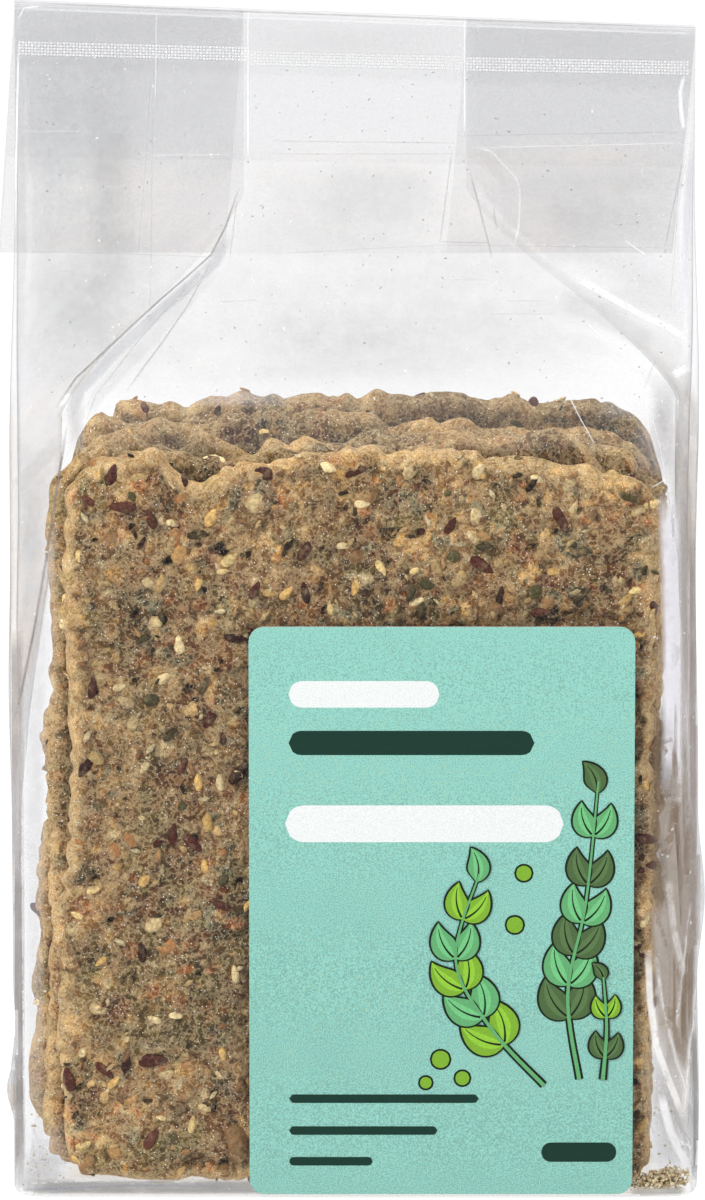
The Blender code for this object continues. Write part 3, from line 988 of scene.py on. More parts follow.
KERNELS_SEEN = (
    (-17.0, 120.5, 70, 4.8), (-41.3, 114.2, 15, 4.4), (-44.4, 108.3, 60, 4.8), (-33.6, 99.6, 20, 3.4),
    (-32.8, 106.2, 50, 4.2), (-40.6, 59.5, 85, 4.4), (-34.0, 46.8, 30, 4.2), (-20.6, 8.8, 95, 8.0),
    (-28.2, 17.6, 40, 4.4), (-24.0, 123.4, 0, 3.2), (40.4, 115.4, 30, 5.4), (20.0, 117.8, 75, 4.0),
    (17.4, 107.0, 40, 3.8), (-36.0, 124.8, 0, 3.6), (44.0, 128.5, 90, 4.6), (-27.4, 84.6, 15, 4.0),
)
GREEN_SEEN = (
    (12.2, 106.2, 20, 3.2), (30.4, 104.8, 80, 3.2), (-22.5, 54.7, 60, 2.6), (-34.6, 86.0, 15, 3.0),
    (-29.2, 67.6, 50, 2.4), (16.6, 111.2, 10, 2.6),
)
SEAWEED_SEEN = (
    (37.6, 112.0, 10, 4.2), (38.2, 104.6, 50, 4.6), (46.0, 121.6, -20, 4.2), (9.6, 104.4, 70, 3.8),
    (11.0, 101.2, 95, 3.6), (29.4, 123.2, 60, 3.4), (22.0, 112.8, 20, 3.4), (-35.8, 97.0, 45, 3.0),
    (-32.9, 100.6, 100, 3.6), (-26.4, 115.2, 20, 4.4), (-25.4, 89.0, 75, 3.8), (-31.2, 79.6, 50, 3.4),
)


def teardrop(width, depth, point):
    """A flat seed of length 1 along x, drawn to a point at one end."""
    shape = bmesh.new()
    bmesh.ops.create_uvsphere(shape, u_segments=8, v_segments=7, radius=0.5)
    bmesh.ops.rotate(shape, matrix=Matrix.Rotation(math.radians(90), 3, "Y"), verts=shape.verts)
    for vertex in shape.verts:
        x, y, z = vertex.co
        taper = 1 - point * (0.5 + x) ** 1.6
        vertex.co = (x, y * width * taper, z * depth * taper)
    return shape


def flake(width, depth, seed):
    """A thin torn flake about 1 long, crumpled a little."""
    random = np.random.default_rng(seed)
    shape = bmesh.new()
    bmesh.ops.create_circle(shape, cap_ends=True, cap_tris=True, segments=9, radius=0.5)
    for vertex in shape.verts:
        reach = random.uniform(0.62, 1.15)
        vertex.co.x *= reach
        vertex.co.y *= width * reach
        vertex.co.z = depth * random.uniform(-0.5, 0.9)
    made = bmesh.ops.extrude_face_region(shape, geom=shape.faces[:])
    lifted = [item for item in made["geom"] if isinstance(item, bmesh.types.BMVert)]
    bmesh.ops.translate(shape, vec=(0, 0, 0.14), verts=lifted)
    bmesh.ops.recalc_face_normals(shape, faces=shape.faces)
    return shape


def lump(width, depth, seed):
    """A broken bit of kernel about 1 long."""
    random = np.random.default_rng(seed)
    shape = bmesh.new()
    bmesh.ops.create_uvsphere(shape, u_segments=8, v_segments=6, radius=0.5)
    for vertex in shape.verts:
        swell = random.uniform(0.86, 1.1)
        vertex.co = (vertex.co.x * swell, vertex.co.y * width * swell, vertex.co.z * depth * swell)
    return shape


# Each kind: its shape of length 1, those seen in the photo, how many more on the front face, on each rim
# and on the back, their lengths in millimetres, how deep they sit, the roughness, the shine and the share
# of web of their material, and their colours
SEED_KINDS = {
    "flax_seeds": dict(
        base=lambda: teardrop(0.5, 0.3, 0.45), seen=FLAX_SEEN, front=22, rim=6, back=62, lengths=(2.4, 4.6),
        sink=0.0, look=(0.24, 0.35, 0.3), palette=((70, 26, 20), (80, 32, 24), (52, 20, 16), (92, 46, 34)),
    ),
    "sesame_seeds": dict(
        base=lambda: teardrop(0.62, 0.44, 0.5), seen=SESAME_SEEN, front=44, rim=9, back=66,
        lengths=(2.4, 3.5), sink=0.04, look=(0.35, 0.5, 0.3),
        palette=((236, 206, 140), (242, 218, 164), (220, 178, 106)),
    ),
    "kernel_bits": dict(
        base=lambda: lump(0.7, 0.4, 5), seen=KERNELS_SEEN, front=240, rim=13, back=160,
        lengths=(1.4, 4.2), sink=0.13, look=(0.5, 0.4, 0.75), palette=(
            (206, 170, 112), (196, 150, 92), (216, 190, 138), (168, 116, 66), (190, 160, 104),
            (150, 112, 70),
        ),
    ),
    "green_husks": dict(
        base=lambda: lump(0.8, 0.3, 8), seen=GREEN_SEEN, front=4, rim=0, back=8, lengths=(1.4, 2.4),
        sink=-0.02, look=(0.4, 0.3, 0.5), palette=((84, 80, 44), (70, 68, 38), (104, 96, 58)),
    ),
    "seaweed_flakes": dict(
        base=lambda: flake(0.42, 0.16, 8), seen=SEAWEED_SEEN, front=84, rim=9, back=80, lengths=(0.8, 2.4),
        sink=-0.02, look=(0.6, 0.2, 0.5), palette=((52, 42, 26), (66, 56, 34), (74, 68, 44), (40, 30, 20)),
    ),
    "bran_flakes": dict(
        base=lambda: flake(0.5, 0.2, 9), seen=(), front=300, rim=9, back=180, lengths=(0.9, 2.4), sink=-0.02,
        look=(0.5, 0.4, 0.55), palette=((210, 178, 124), (174, 132, 86), (144, 102, 66), (224, 204, 158)),
    ),
}


def seed_material(name, roughness, shine, web_share):
    """A husk in each seed's own colour, streaked along, with the crust's pale web over part of it."""
    shader = material_shader(name)
    mottle = shader.noise(0.6 * MM, 3, 0.6)
    shade = shader.colours(mottle, (0.3, (0.55, 0.5, 0.46)), (0.5, (1, 1, 1)), (0.72, (1.5, 1.5, 1.45)))
    colour = shader.blend(shader.tint()[0], shade, 0.9, "MULTIPLY")
    cover = shader.noise(2.2 * MM, 3, 0.6).between(0.5, 0.68)
    crumb = shader.noise(0.5 * MM, 2, 0.7)
    stops = (0.3, linear(112, 92, 62)), (0.5, linear(170, 142, 104)), (0.7, linear(222, 202, 160))
    covered = (web_share * cover + 0.3 * web_share * web(shader)).least(1.0)
    return shader.principled(
        {
            "Base Color": shader.blend(colour, shader.colours(crumb, *stops), covered),
            "Roughness": roughness + 0.35 * cover,
            "Specular IOR Level": shine,
            "Normal": shader.bump(mottle + 0.4 * shader.noise(0.3 * MM, 1, 0.5), 0.25 * MM, 0.7),
        }
    )


def make_seeds(name, kind, grounds, seed):
    """The seeds of one kind: those seen in the photo, then those strewn where slices show."""
    random = np.random.default_rng(seed)
    copies = []
    palette = [np.array(linear(*colour)) for colour in kind["palette"]]

    def add(ground, face, turn, length, deeper=0.0):
        width = length * random.uniform(0.85, 1.1)
        depth = length * random.uniform(0.85, 1.15)
        sink = (kind["sink"] + deeper) * length * MM
        matrix = ground.lay(face, turn, (length * MM, width * MM, depth * MM), sink)
        copies.append((matrix, palette[random.integers(len(palette))] * random.uniform(0.8, 1.2)))

    for x, z, turn, length in kind["seen"]:
        add(grounds[0], grounds[0].nearest_front(x * MM, z * MM), math.radians(turn), length)
    for number, ground in enumerate(grounds):
        facing = ground.normals[:, 1]
        rearmost = number == SLICE_COUNT - 1
        wanted = [(kind["rim"] * (2 if rearmost else 1), ground.rim < 5 * MM, 0.1)]
        if number == 0:
            wanted.append((kind["front"], (facing < -0.2) & (ground.rim > 1 * MM), 0.0))
        if rearmost:
            wanted.append((kind["back"], (facing > 0.2) & (ground.rim > 1 * MM), 0.0))
        for count, where, deeper in wanted:
            for face in ground.pick(random, count, where):
                add(ground, face, random.uniform(0, 2 * math.pi), random.uniform(*kind["lengths"]), deeper)
    piece = joined_copies(kind["base"](), copies, name, seed_material(name, *kind["look"]))
    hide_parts("bag")


class CRISPBREAD_OT_seeds(bpy.types.Operator):
    """Flax, sesame, kernel bits, husks and seaweed, pressed into the slices where they show"""

    bl_idname = "crispbread.seeds"
    bl_label = "Seeds and flakes"

    def execute(self, context):
        grounds = [Ground(bpy.data.objects[f"crispbread_{number + 1}"]) for number in range(SLICE_COUNT)]
        for place, (name, kind) in enumerate(SEED_KINDS.items()):
            make_seeds(name, kind, grounds, 40 + place)
        return {"FINISHED"}


# Lines on the film: creases, edges of layers, the seal, scratches, and painted highlights, painted shade and
# painted reflections


# How far in front of the film its clouds, lines, seal and dust lie, in millimetres
CLOUD_LIFT, LINE_LIFT, SEAL_LIFT, DUST_LIFT = 0.05, 0.07, 0.08, 0.09
# Neighbours further apart in depth than this lie on different layers of film
LAYER_GAP = 5 * MM
# From point to point along a line, in pixels of the frame
LINE_STEP = 5
# The specks of dust: how many, and where in pixels of the frame: across the bag, above the slices, over them
DUST_COUNT = 420
DUST_COLUMNS, HEAD_ROWS, SLICE_ROWS = (16, 690), (70, 400), (400, 1180)


def film_at(tree, column, row):
    """Where the camera sees the film at a pixel of the frame, and the normal that faces it, or None."""
    up = Vector((0, math.sin(CAMERA_RISE), math.cos(CAMERA_RISE)))
    scale = SENSOR_HEIGHT / CAMERA_LENS / FRAME_HEIGHT
    aside = Vector((1, 0, 0)) * (column - FRAME_WIDTH / 2) * scale
    along = aside + up * (FRAME_HEIGHT / 2 - row) * scale - CAMERA_OUTWARDS
    camera = CAMERA_TARGET + CAMERA_OUTWARDS * CAMERA_DISTANCE
    place, normal, _, _ = tree.ray_cast(camera, along.normalized())
    if place is None:
        return None, None
    return place, normal if normal.y < 0 else -normal


# Each mark: width in millimetres, tone from 0 dark to 1 white, strength, then its pixels in the frame.
# Besides creases, layer edges and scratches, the white streaks are painted highlights, the wide grey bands
# painted shade, and the brown and blue-grey marks painted reflections
HEAD_MARKS = (
    (0.5, 0.25, 0.55, (18, 3), (250, 12), (465, 20), (692, 28)),
    (0.4, 1.0, 0.3, (19, 9), (250, 18), (465, 26), (691, 34)),
    (0.35, 1.0, 0.9, (248, 8), (248, 160)),
    (0.35, 1.0, 0.9, (464.5, 16), (464.5, 135)),
    (0.45, 1.0, 0.9, (18.5, 42), (17, 130), (15.5, 230)),
    (0.3, 1.0, 0.5, (156.5, 6), (156, 50), (155, 104)),
    (0.35, 0.5, 0.35, (154, 62), (152, 160), (150, 330)),
    (0.3, 0.5, 0.28, (151, 75), (145, 170), (138, 258)),
    (0.35, 1.0, 0.2, (18, 131), (90, 132)),
    (0.35, 1.0, 0.25, (135, 155), (235, 155)),
    (0.3, 0.35, 0.35, (268, 141), (455, 143)),
    (0.3, 0.35, 0.3, (268, 154), (455, 154)),
    (0.35, 0.35, 0.3, (455, 136), (690, 132)),
    (0.4, 1.0, 0.3, (470, 148), (690, 143)),
    (0.3, 0.4, 0.2, (20, 252), (130, 254), (230, 258)),
    (0.3, 0.4, 0.2, (255, 255), (440, 245), (665, 248)),
    (0.3, 0.3, 0.45, (440, 242), (490, 243)),
    (0.35, 0.4, 0.5, (237, 199), (230, 257)),
    (0.35, 0.4, 0.6, (452, 150), (440, 243)),
    (0.4, 0.4, 0.5, (683, 160), (665, 247)),
    (1.3, (0.78, 0.77, 0.84), 0.5, (690, 150), (686, 230), (681, 320)),
    (0.3, 0.5, 0.3, (684, 160), (676, 230), (670, 311)),
    (1.0, 1.0, 0.95, (684, 75), (680, 92), (681, 110), (684, 130)),
    (0.8, 1.0, 0.3, (473, 146), (492, 152), (516, 178), (520, 190), (519, 225), (514, 250)),
    (1.6, 0.5, 0.12, (480, 152), (500, 178), (508, 200), (506, 240)),
    (0.5, 0.3, 0.5, (470, 172), (489, 245), (492, 258)),
    (0.5, 0.3, 0.4, (493, 208), (497, 230)),
    (0.4, 1.0, 0.8, (18, 20), (24, 8), (40, 6)),
)
# The brown marks beside the stack are painted reflections of the slices in the side pleat
RIGHT_MARKS = (
    (1.6, 1.0, 0.5, (575, 278), (598, 290), (622, 304), (647, 318), (668, 327), (688, 340)),
    (0.4, 1.0, 0.7, (647, 316), (662, 325), (688, 340)),
    (4.5, 0.5, 0.3, (559, 300), (600, 314), (654, 345)),
    (1.8, 1.0, 0.7, (672, 376), (690, 366)),
    (0.4, 0.5, 0.35, (655, 361), (644, 389)),
    (0.3, 1.0, 0.8, (624, 240), (647, 256)),
    (0.3, 1.0, 0.7, (586, 323), (605, 339)),
    (0.3, 0.45, 0.3, (440, 280), (490, 280)),
    (0.3, 0.45, 0.3, (490, 314), (561, 314)),
    (0.3, 0.45, 0.3, (504, 301), (547, 301)),
    (0.3, 0.95, 0.8, (566, 390), (580, 418), (595, 445)),
    (0.3, 0.85, 0.6, (648, 405), (660, 446), (666, 480)),
    (0.35, 1.0, 0.8, (651, 488), (668, 478)),
    (0.35, 0.45, 0.4, (666, 481), (669, 500), (679, 560), (681, 640)),
    (4.2, (0.84, 0.82, 0.87), 0.85, (668, 492), (671, 560), (674, 660), (673, 740), (671, 790)),
    (2.2, (0.42, 0.38, 0.36), 0.6, (684, 470), (686, 600), (686, 760), (684, 870)),
    (1.6, (0.36, 0.3, 0.27), 0.8, (692, 520), (693, 640), (693, 780), (691, 960)),
    (1.0, (0.75, 0.72, 0.72), 0.7, (689, 560), (689, 700), (690, 800)),
    (5.2, (0.42, 0.36, 0.31), 0.95, (672, 800), (676, 860), (680, 940), (680, 1020), (682, 1060)),
    (4.0, (0.4, 0.34, 0.3), 0.85, (690, 820), (689, 900), (687, 980), (686, 1040)),
    (3.6, (0.46, 0.4, 0.35), 0.8, (660, 900), (662, 980), (666, 1050)),
    (1.0, (0.6, 0.52, 0.45), 0.5, (672, 880), (676, 960), (678, 1040)),
    (0.3, 0.35, 0.5, (698, 748), (703, 860)),
    (2.4, (0.2, 0.13, 0.08), 0.65, (666, 738), (673, 765), (678, 800)),
    (2.0, (0.22, 0.15, 0.1), 0.65, (677, 800), (672, 830), (664, 858)),
    (1.6, (0.24, 0.17, 0.12), 0.6, (684, 770), (687, 830), (686, 890)),
    (1.4, (0.85, 0.83, 0.82), 0.5, (668, 880), (674, 930), (684, 975)),
    (1.2, (0.25, 0.19, 0.14), 0.6, (654, 905), (668, 950), (682, 985)),
    (1.6, (0.3, 0.23, 0.18), 0.55, (664, 985), (674, 1030), (688, 1070)),
    (1.0, (0.9, 0.88, 0.87), 0.7, (655, 955), (664, 1010), (676, 1060), (694, 1112)),
    (0.8, (0.9, 0.88, 0.87), 0.6, (691, 900), (684, 960), (676, 1030)),
)
LEFT_MARKS = (
    (
        2.4, (0.5, 0.5, 0.52), 0.6, (66, 424), (80, 390), (121, 348),
        (165, 307), (195, 281), (215, 262), (230, 232),
    ),
    (3.0, 0.55, 0.25, (86, 420), (98, 394), (138, 352), (176, 312), (203, 282), (216, 268)),
    (
        0.5, 0.25, 0.9, (56, 408), (76, 378), (117, 340), (161, 299),
        (191, 273), (211, 255), (226, 226), (239, 188),
    ),
    (0.4, 0.35, 0.65, (211, 262), (188, 305), (164, 340), (146, 364), (126, 392)),
    (0.35, 0.4, 0.5, (206, 266), (155, 322), (134, 346), (107, 381), (96, 395), (86, 422)),
    (1.2, 1.0, 0.8, (60, 407), (70, 392)),
    (
        0.7, (0.25, 0.22, 0.21), 0.85, (67, 424), (62, 457), (55, 500),
        (46, 560), (34, 631), (22, 690), (14, 722),
    ),
    (1.5, (0.55, 0.53, 0.52), 0.35, (56, 520), (44, 600), (32, 670), (22, 740), (18, 860)),
    (0.3, (0.4, 0.38, 0.37), 0.4, (50, 560), (38, 650), (28, 720)),
    (0.3, 0.95, 0.5, (26, 690), (25, 768), (22, 811), (23, 977), (24, 1060), (24, 1120)),
    (3.0, 0.5, 0.25, (64, 436), (40, 462), (14, 491)),
    (0.35, 0.5, 0.35, (219, 302), (258, 300)),
    (2.8, (0.36, 0.33, 0.32), 0.85, (16, 630), (16.5, 800), (17, 880)),
    (2.4, (0.28, 0.26, 0.25), 0.9, (18.5, 850), (18.5, 1060), (19.5, 1185)),
    (0.3, (0.35, 0.32, 0.31), 0.5, (11, 500), (11, 700), (11, 900), (12, 1150)),
    (0.3, (0.4, 0.37, 0.36), 0.4, (19, 700), (20, 860), (20, 1140)),
)
# The blue-grey marks along the base are painted reflections, and the white ones at the right are painted
# highlights
BASE_MARKS = (
    (0.5, 0.6, 0.4, (15.5, 1040), (15.5, 1190)),
    (0.4, 0.6, 0.4, (30, 1126), (52, 1160), (58, 1186)),
    (1.5, (0.96, 0.93, 0.9), 0.9, (648, 950), (650, 1000), (656, 1045), (668, 1078), (683, 1118)),
    (1.1, (0.96, 0.93, 0.9), 0.85, (697, 975), (693, 1020), (688, 1062), (684, 1118)),
    (1.0, 0.45, 0.6, (661, 1062), (672, 1100), (684, 1135), (692, 1168)),
    (1.8, (0.94, 0.93, 0.94), 0.85, (661, 1094), (670, 1130), (679, 1150), (690, 1170)),
    (0.35, 0.35, 0.5, (664, 1090), (680, 1128), (690, 1140), (692, 1172), (701, 1188)),
    (0.6, 1.0, 0.8, (678, 1140), (690, 1146), (692, 1168)),
    (3.0, 0.5, 0.25, (690, 1010), (694, 1080), (696, 1140)),
    (0.8, (0.3, 0.32, 0.4), 0.75, (20, 1190), (70, 1188), (140, 1185), (240, 1187)),
    (0.6, 0.9, 0.6, (22, 1184), (90, 1180), (200, 1181)),
    (2.8, (0.34, 0.335, 0.33), 0.8, (18, 1187), (120, 1187), (290, 1187)),
    (1.6, (0.34, 0.32, 0.27), 0.7, (630, 1192), (686, 1190)),
    (1.4, (0.3, 0.3, 0.3), 0.8, (694, 1030), (696, 1100), (696, 1150), (694, 1180)),
    (0.8, (0.6, 0.62, 0.68), 0.4, (648, 1120), (662, 1150), (676, 1166)),
)
# The heat seal: the first and last pixel of its top row over the left, middle and right panels, and the
# strength of its dots
SEAL_ROWS = (((18, 42), (247, 48), 0.95), ((250, 52), (463, 57), 0.55), ((466, 58), (689, 62), 0.95))
SEAL_ROW_COUNT = 5
# In pixels of the frame
SEAL_ROW_GAP = 2.9
# In millimetres: from dot to dot, and a dot's width and height
SEAL_PITCH = 0.54
SEAL_DOT = (0.34, 0.3)


def add_seal(tree, look):
    """The heat seal: rows of small pressed dots that scatter light, over faint darker lines."""
    shape = bmesh.new()
    bmesh.ops.create_grid(shape, x_segments=1, y_segments=1, size=0.5)
    copies = []
    facing = Matrix.Rotation(math.radians(90), 4, "X")
    flat = facing @ Matrix.Diagonal((SEAL_DOT[0] * MM, SEAL_DOT[1] * MM, 1, 1))
    for (first_x, first_y), (last_x, last_y), strength in SEAL_ROWS:
        columns = round((last_x - first_x) / PIXELS_PER_MM / SEAL_PITCH)
        for row in range(SEAL_ROW_COUNT):
            for column in range(columns):
                share = (column + 0.5) / columns
                across = first_x + (last_x - first_x) * share
                down = first_y + (last_y - first_y) * share + row * SEAL_ROW_GAP
                place, _ = film_at(tree, across, down)
                if place is None:
                    continue
                opacity = strength * (0.55 + 0.45 * math.sin(1.7 * column + row) ** 2)
                matrix = Matrix.Translation(place + Vector((0, -SEAL_LIFT * MM, 0))) @ flat
                copies.append((matrix, (1, 1, 1, opacity)))
    keep_clear(joined_copies(shape, copies, "seal_dots", look))
    shape = bmesh.new()
    for first, last, _ in SEAL_ROWS:
        for row in range(SEAL_ROW_COUNT + 1):
            down = (row - 0.5) * SEAL_ROW_GAP
            add_mark(shape, tree, 0.18, 0.3, 0.22, (first[0], first[1] + down), (last[0], last[1] + down))
    keep_clear(finish_piece(shape, "seal_lines", look))


def lay_on_film(shape, tree, columns, rows, spot, lift):
    """A grid laid on the film as the camera sees it.

    For a point of the grid, from -1 to 1 both ways, spot gives the column, the row and the tint.
    """
    tints = shape.verts.layers.float_color
    layer = tints.get("tint") or tints.new("tint")
    lost = []
    grid = bmesh.ops.create_grid(shape, x_segments=columns, y_segments=rows, size=1)["verts"]
    for vertex in grid:
        column, row, tint = spot(vertex.co.x, vertex.co.y)
        place, normal = film_at(tree, column, row)
        if place is None:
            lost.append(vertex)
            continue
        vertex.co = place + normal * lift
        vertex[layer] = tint
    bmesh.ops.delete(shape, geom=lost, context="VERTS")
    # A face that would bridge a gap between two layers of film is left out
    kept = [vertex for vertex in grid if vertex.is_valid]
    edges = {edge for vertex in kept for edge in vertex.link_edges}
    bridges = [edge for edge in edges if abs(edge.verts[0].co.y - edge.verts[1].co.y) > LAYER_GAP]
    bmesh.ops.delete(shape, geom=bridges, context="EDGES")


def add_mark(shape, tree, width, tone, strength, *points):
    """A soft-edged ribbon just in front of the film, where the camera sees the points."""
    path = []
    for (first_x, first_y), (last_x, last_y) in zip(points, points[1:]):
        steps = max(1, round(math.hypot(last_x - first_x, last_y - first_y) / LINE_STEP))
        for step in range(steps):
            share = step / steps
            path.append((first_x + (last_x - first_x) * share, first_y + (last_y - first_y) * share))
    path.append(points[-1])
    last = len(path) - 1
    colour = np.ones(3) * tone

    def spot(aside, along):
        number = round((along + 1) / 2 * last)
        before, after = path[max(number - 1, 0)], path[min(number + 1, last)]
        reach = aside * width * 0.5 * PIXELS_PER_MM / (math.dist(before, after) + 1e-9)
        column = path[number][0] - (after[1] - before[1]) * reach
        row = path[number][1] + (after[0] - before[0]) * reach
        taper = min(1, 8 * number / last + 0.1, 8 * (1 - number / last) + 0.1)
        return column, row, (*colour, 0.0 if abs(aside) > 0.9 else strength * taper)

    lay_on_film(shape, tree, 4 if width > 1.2 else 2, last, spot, LINE_LIFT * MM)


def add_patch(shape, tree, middle, reach, tone, strength):
    """A soft cloud of painted light on the film, about a pixel of the frame, that fades to nothing at its
    reach.
    """
    colour = np.ones(3) * tone

    def spot(across, along):
        fall = (1 - max(abs(across), abs(along)) ** 2) * max(0.0, 1 - 0.5 * (across**2 + along**2))
        return middle[0] + across * reach[0], middle[1] - along * reach[1], (*colour, strength * fall)

    lay_on_film(shape, tree, 16, 16, spot, CLOUD_LIFT * MM)


# Clouds of painted light on the film: grey painted shade, brown painted reflections of the slices, and white
# painted highlights. Each: middle and reach in pixels of the frame, tone, strength
PAINTED_LIGHT_CLOUDS = (
    ((385, 190), (70, 36), 0.35, 0.16),
    ((110, 205), (26, 120), 0.3, 0.22),
    ((60, 190), (50, 60), 0.9, 0.12),
    ((190, 110), (60, 55), 0.4, 0.07),
    ((350, 42), (110, 18), 0.35, 0.09),
    ((130, 25), (110, 18), 0.35, 0.08),
    ((580, 45), (110, 18), 0.4, 0.08),
    ((350, 345), (120, 42), 0.35, 0.18),
    ((500, 330), (110, 55), 0.4, 0.14),
    ((470, 270), (150, 26), 0.45, 0.1),
    ((70, 300), (60, 50), 0.35, 0.16),
    ((60, 360), (50, 45), 0.45, 0.12),
    ((600, 205), (60, 40), 0.4, 0.07),
    ((640, 290), (50, 34), 0.4, 0.12),
    ((170, 345), (40, 40), 0.45, 0.1),
    ((30, 480), (20, 60), 0.45, 0.14),
    ((34, 930), (12, 330), (0.6, 0.6, 0.64), 0.25),
    ((40, 1156), (30, 40), (0.6, 0.6, 0.64), 0.3),
    ((684, 640), (14, 260), (0.45, 0.41, 0.4), 0.45),
    ((682, 940), (24, 230), (0.26, 0.19, 0.13), 0.6),
    ((668, 850), (14, 110), (0.3, 0.22, 0.15), 0.55),
    ((640, 400), (46, 22), (0.88, 0.87, 0.88), 0.3),
    ((655, 440), (26, 40), (0.6, 0.56, 0.56), 0.35),
    ((240, 398), (60, 10), (0.8, 0.79, 0.84), 0.25),
    ((40, 620), (20, 110), (0.6, 0.6, 0.64), 0.3),
    ((36, 780), (14, 130), (0.6, 0.6, 0.63), 0.25),
    ((75, 100), (95, 80), 0.3, 0.26),
    ((75, 195), (80, 75), 0.3, 0.26),
    ((80, 310), (85, 90), 0.3, 0.28),
    ((350, 320), (300, 110), 0.4, 0.24),
    ((350, 205), (130, 60), 0.4, 0.26),
    ((590, 205), (120, 62), 0.3, 0.18),
    ((76, 424), (10, 34), (0.5, 0.47, 0.46), 0.5),
    ((665, 765), (16, 70), (0.15, 0.11, 0.075), 1.0),
    ((662, 850), (14, 60), (0.14, 0.1, 0.07), 0.8),
    ((668, 890), (20, 80), (0.18, 0.14, 0.11), 0.8),
    ((667, 975), (18, 60), (0.18, 0.14, 0.11), 0.85),
    ((666, 755), (8, 60), (0.04, 0.025, 0.015), 0.95),
    ((671, 890), (10, 70), (0.08, 0.06, 0.045), 0.75),
    ((663, 970), (8, 50), (0.08, 0.06, 0.045), 0.7),
    ((664, 1080), (22, 60), (0.33, 0.31, 0.3), 0.6),
    ((674, 1130), (26, 50), (0.33, 0.32, 0.32), 0.5),
    ((664, 430), (16, 60), (0.36, 0.35, 0.35), 0.6),
    ((672, 560), (9, 120), (0.36, 0.35, 0.36), 0.5),
    ((668, 680), (12, 50), (0.36, 0.33, 0.3), 0.5),
    ((40, 1172), (34, 26), (0.33, 0.33, 0.33), 0.5),
    ((680, 840), (8, 40), (0.2, 0.14, 0.09), 0.7),
    ((685, 760), (6, 34), (0.25, 0.2, 0.15), 0.6),
    ((30, 520), (18, 60), 0.3, 0.2),
    ((34, 860), (14, 300), 0.35, 0.14),
    ((678, 1010), (18, 80), (0.24, 0.17, 0.11), 0.75),
)


def mark_material():
    """Where the film is creased or doubled it scatters light, or hides what is behind. The same material
    carries the painted highlights, painted shade and painted reflections on the film.
    """
    shader = material_shader("film_marks")
    colour, opacity = shader.tint()
    uneven = shader.noise(4 * MM, 3, 0.6)
    alpha = (opacity * (0.45 + 1.1 * uneven)).least(1.0)
    return shader.principled({"Base Color": colour, "Roughness": 0.3 + 0.2 * uneven, "Alpha": alpha})


def add_dust(tree, look):
    """Fine dark and white specks on the film, most of them above the slices."""
    random = np.random.default_rng(5)
    shape = bmesh.new()
    bmesh.ops.create_circle(shape, cap_ends=True, segments=6, radius=0.5)
    copies = []
    for number in range(DUST_COUNT):
        high = number % 5 < 4
        column = random.uniform(*DUST_COLUMNS)
        row = random.uniform(*(HEAD_ROWS if high else SLICE_ROWS))
        # Beside the label the specks gather along the bag's sides
        if not high and 60 < column < 660:
            column = 8 + column / 12 if number % 2 else 700 - column / 14
        white = random.uniform() < (0.45 if column < 160 else 0.2) or not high
        place, normal = film_at(tree, column, row)
        if place is None:
            continue
        turn = normal.to_track_quat("Z", "Y").to_matrix().to_4x4()
        size = random.uniform(0.12, 0.34) * MM
        longer = size * random.uniform(1, 2.4)
        spin = Matrix.Rotation(random.uniform(0, 3.1), 4, "Z") @ Matrix.Diagonal((longer, size, size, 1))
        colour = (0.95, 0.93, 0.88, 0.7) if white else (0.2, 0.2, 0.2, random.uniform(0.2, 0.6))
        copies.append((Matrix.Translation(place + normal * DUST_LIFT * MM) @ turn @ spin, colour))
    keep_clear(joined_copies(shape, copies, "film_dust", look))


class FILM_OT_marks(bpy.types.Operator):
    """The fine lines on the film: creases, layer edges, scratches and the ribbed heat seal, with painted
    highlights, painted shade and painted reflections, clouds of painted light, and dust
    """

    bl_idname = "crispbread.film_marks"
    bl_label = "Film marks"

    def execute(self, context):
        look = mark_material()
        tree = BVHTree.FromObject(bpy.data.objects["film_bag"], context.evaluated_depsgraph_get())
        pieces = {
            "head_creases_and_painted_light": (add_mark, HEAD_MARKS),
            "right_creases_and_painted_light": (add_mark, RIGHT_MARKS),
            "left_creases_and_painted_light": (add_mark, LEFT_MARKS),
            "base_creases_and_painted_light": (add_mark, BASE_MARKS),
            "film_painted_light_clouds": (add_patch, PAINTED_LIGHT_CLOUDS),
        }
        for name, (add, marks) in pieces.items():
            shape = bmesh.new()
            for mark in marks:
                add(shape, tree, *mark)
            keep_clear(finish_piece(shape, name, look))
        add_dust(tree, look)
        add_seal(tree, look)
        return {"FINISHED"}


# How many crumbs lie in the heap, and how many over the rest of the base
HEAP_COUNT = 700
STRAY_COUNT = 200


